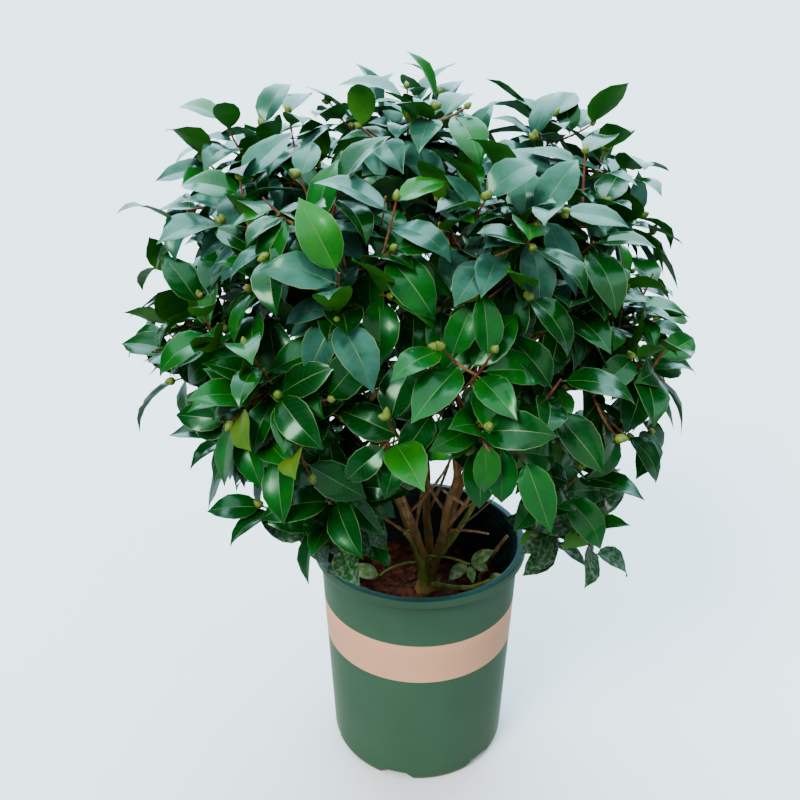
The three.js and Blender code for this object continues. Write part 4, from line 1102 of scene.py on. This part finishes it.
cut_ring = low_forms["pruned_stub"][0][-BARK_SIDES:]
cut_middle = cut_ring.mean(0)
cut_out = unit(np.array([-19.0, -6.0, 40.0]))
cut_rows = [cut_ring, cut_middle + 0.75 * (cut_ring - cut_middle) + 0.8 * cut_out,
            cut_middle + 0.3 * (cut_ring - cut_middle) + 1.3 * cut_out]
fresh_wood = finish("fresh_wood", (0.42, 0.14, 0.03), (0.70, 0.32, 0.09), 4.0, 0.7)
cut = add_piece("pruning_cut", np.concatenate(cut_rows), tube_faces(3, BARK_SIDES), [fresh_wood])
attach(cut, "root")

# Each small leaf: the place of its foot, the way it points, and its length.
SMALL_LEAVES = (
    ((66, -40, 315), (-0.75, -0.55, -0.20), 38.0), ((68, -40, 314), (0.75, 0.05, 0.55), 40.0),
    ((68, -41, 313), (0.10, -0.80, -0.45), 26.0), ((69, -40, 314), (0.95, -0.20, -0.10), 30.0),
    ((-54, -44, 298), (-0.85, -0.15, 0.40), 46.0), ((-40, -34, 307), (-0.50, 0.60, 0.35), 34.0),
    ((98, -28, 279), (0.50, -0.30, 0.60), 24.0),
)
small_foot, small_way, small_length = (np.array(column, float) for column in zip(*SMALL_LEAVES))
small_along = unit(small_way)
small_normal = square_to(small_along, UP + np.array([0.0, -0.6, 0.0]))
SMALL_LEAF_NUMBER = 41.0
sprig_skin = finish("sprig_skin", srgb(70, 128, 36), srgb(168, 180, 152), 7.0, 0.55, (0.38, 0.72))
small_leaves = add_leaves("small_leaves", small_foot, small_along, small_normal, small_length,
                          SMALL_LEAF_NUMBER + np.arange(len(SMALL_LEAVES)),
                          [sprig_skin, *shared_skins])
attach(small_leaves, "root")


# Flower buds: plump and pale yellow-green, one to three at the end of a shoot, of overlapping
# scales that close to a blunt point.
BUD_LENGTH = 12.5
BUD_RADIUS = 4.6
BUD_ROWS = 8
BUD_SIDES = 8
BUD_SHARE = 0.75

bud_deal = fraction(shoot_number, 0.3319)[:, None]
bud_shoot, bud_rank = np.nonzero(bud_deal < BUD_SHARE / np.array([1.0, 1.9, 6.0]))
bud_heading = end_heading(shoot_curves)[bud_shoot]
side, other = square_pair(bud_heading, bud_heading)
lean_turn = (2.1 * bud_rank + 6.28 * fraction(shoot_number[bud_shoot], 0.77))[:, None]
lean = np.where(bud_rank == 0, 0.15, 0.75)[:, None]
sideways = side * np.cos(lean_turn) + other * np.sin(lean_turn)
bud_axis = unit(bud_heading * np.cos(lean) + sideways * np.sin(lean))
bud_foot = shoot_curves[bud_shoot, 2] - 1.5 * bud_axis
bud_size = 0.75 + 0.4 * fraction(shoot_number[bud_shoot] + 3 * bud_rank, 0.618)
t = np.linspace(0.0, 1.0, BUD_ROWS)
girth = np.maximum(0.12, np.sin(np.pi * t ** 0.8) ** 0.8)
bud_turn = 2 * np.pi * np.arange(BUD_SIDES) / BUD_SIDES
scales = 1.0 + 0.07 * np.sin(2 * bud_turn[None, :] + 9.0 * t[:, None])
side = unit(np.cross(bud_axis, SLANTING))[:, None]
other = np.cross(bud_axis[:, None], side)
bud_ring = (girth[:, None] * scales)[None] * (BUD_RADIUS * bud_size)[:, None, None]
bud_middle = bud_foot[:, None] + bud_axis[:, None] * (BUD_LENGTH * bud_size[:, None] * t)[..., None]
bud_points = ringed(bud_middle, side, other, bud_ring, BUD_SIDES)
bud_scales = finish("bud_scales", srgb(80, 106, 22), srgb(128, 144, 50), 5.0, 0.5)
buds = add_piece("flower_buds", bud_points.reshape(-1, 3),
                 tube_faces(BUD_ROWS, BUD_SIDES, len(bud_foot)), [bud_scales], crease_deg=60.0)
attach(buds, "root")
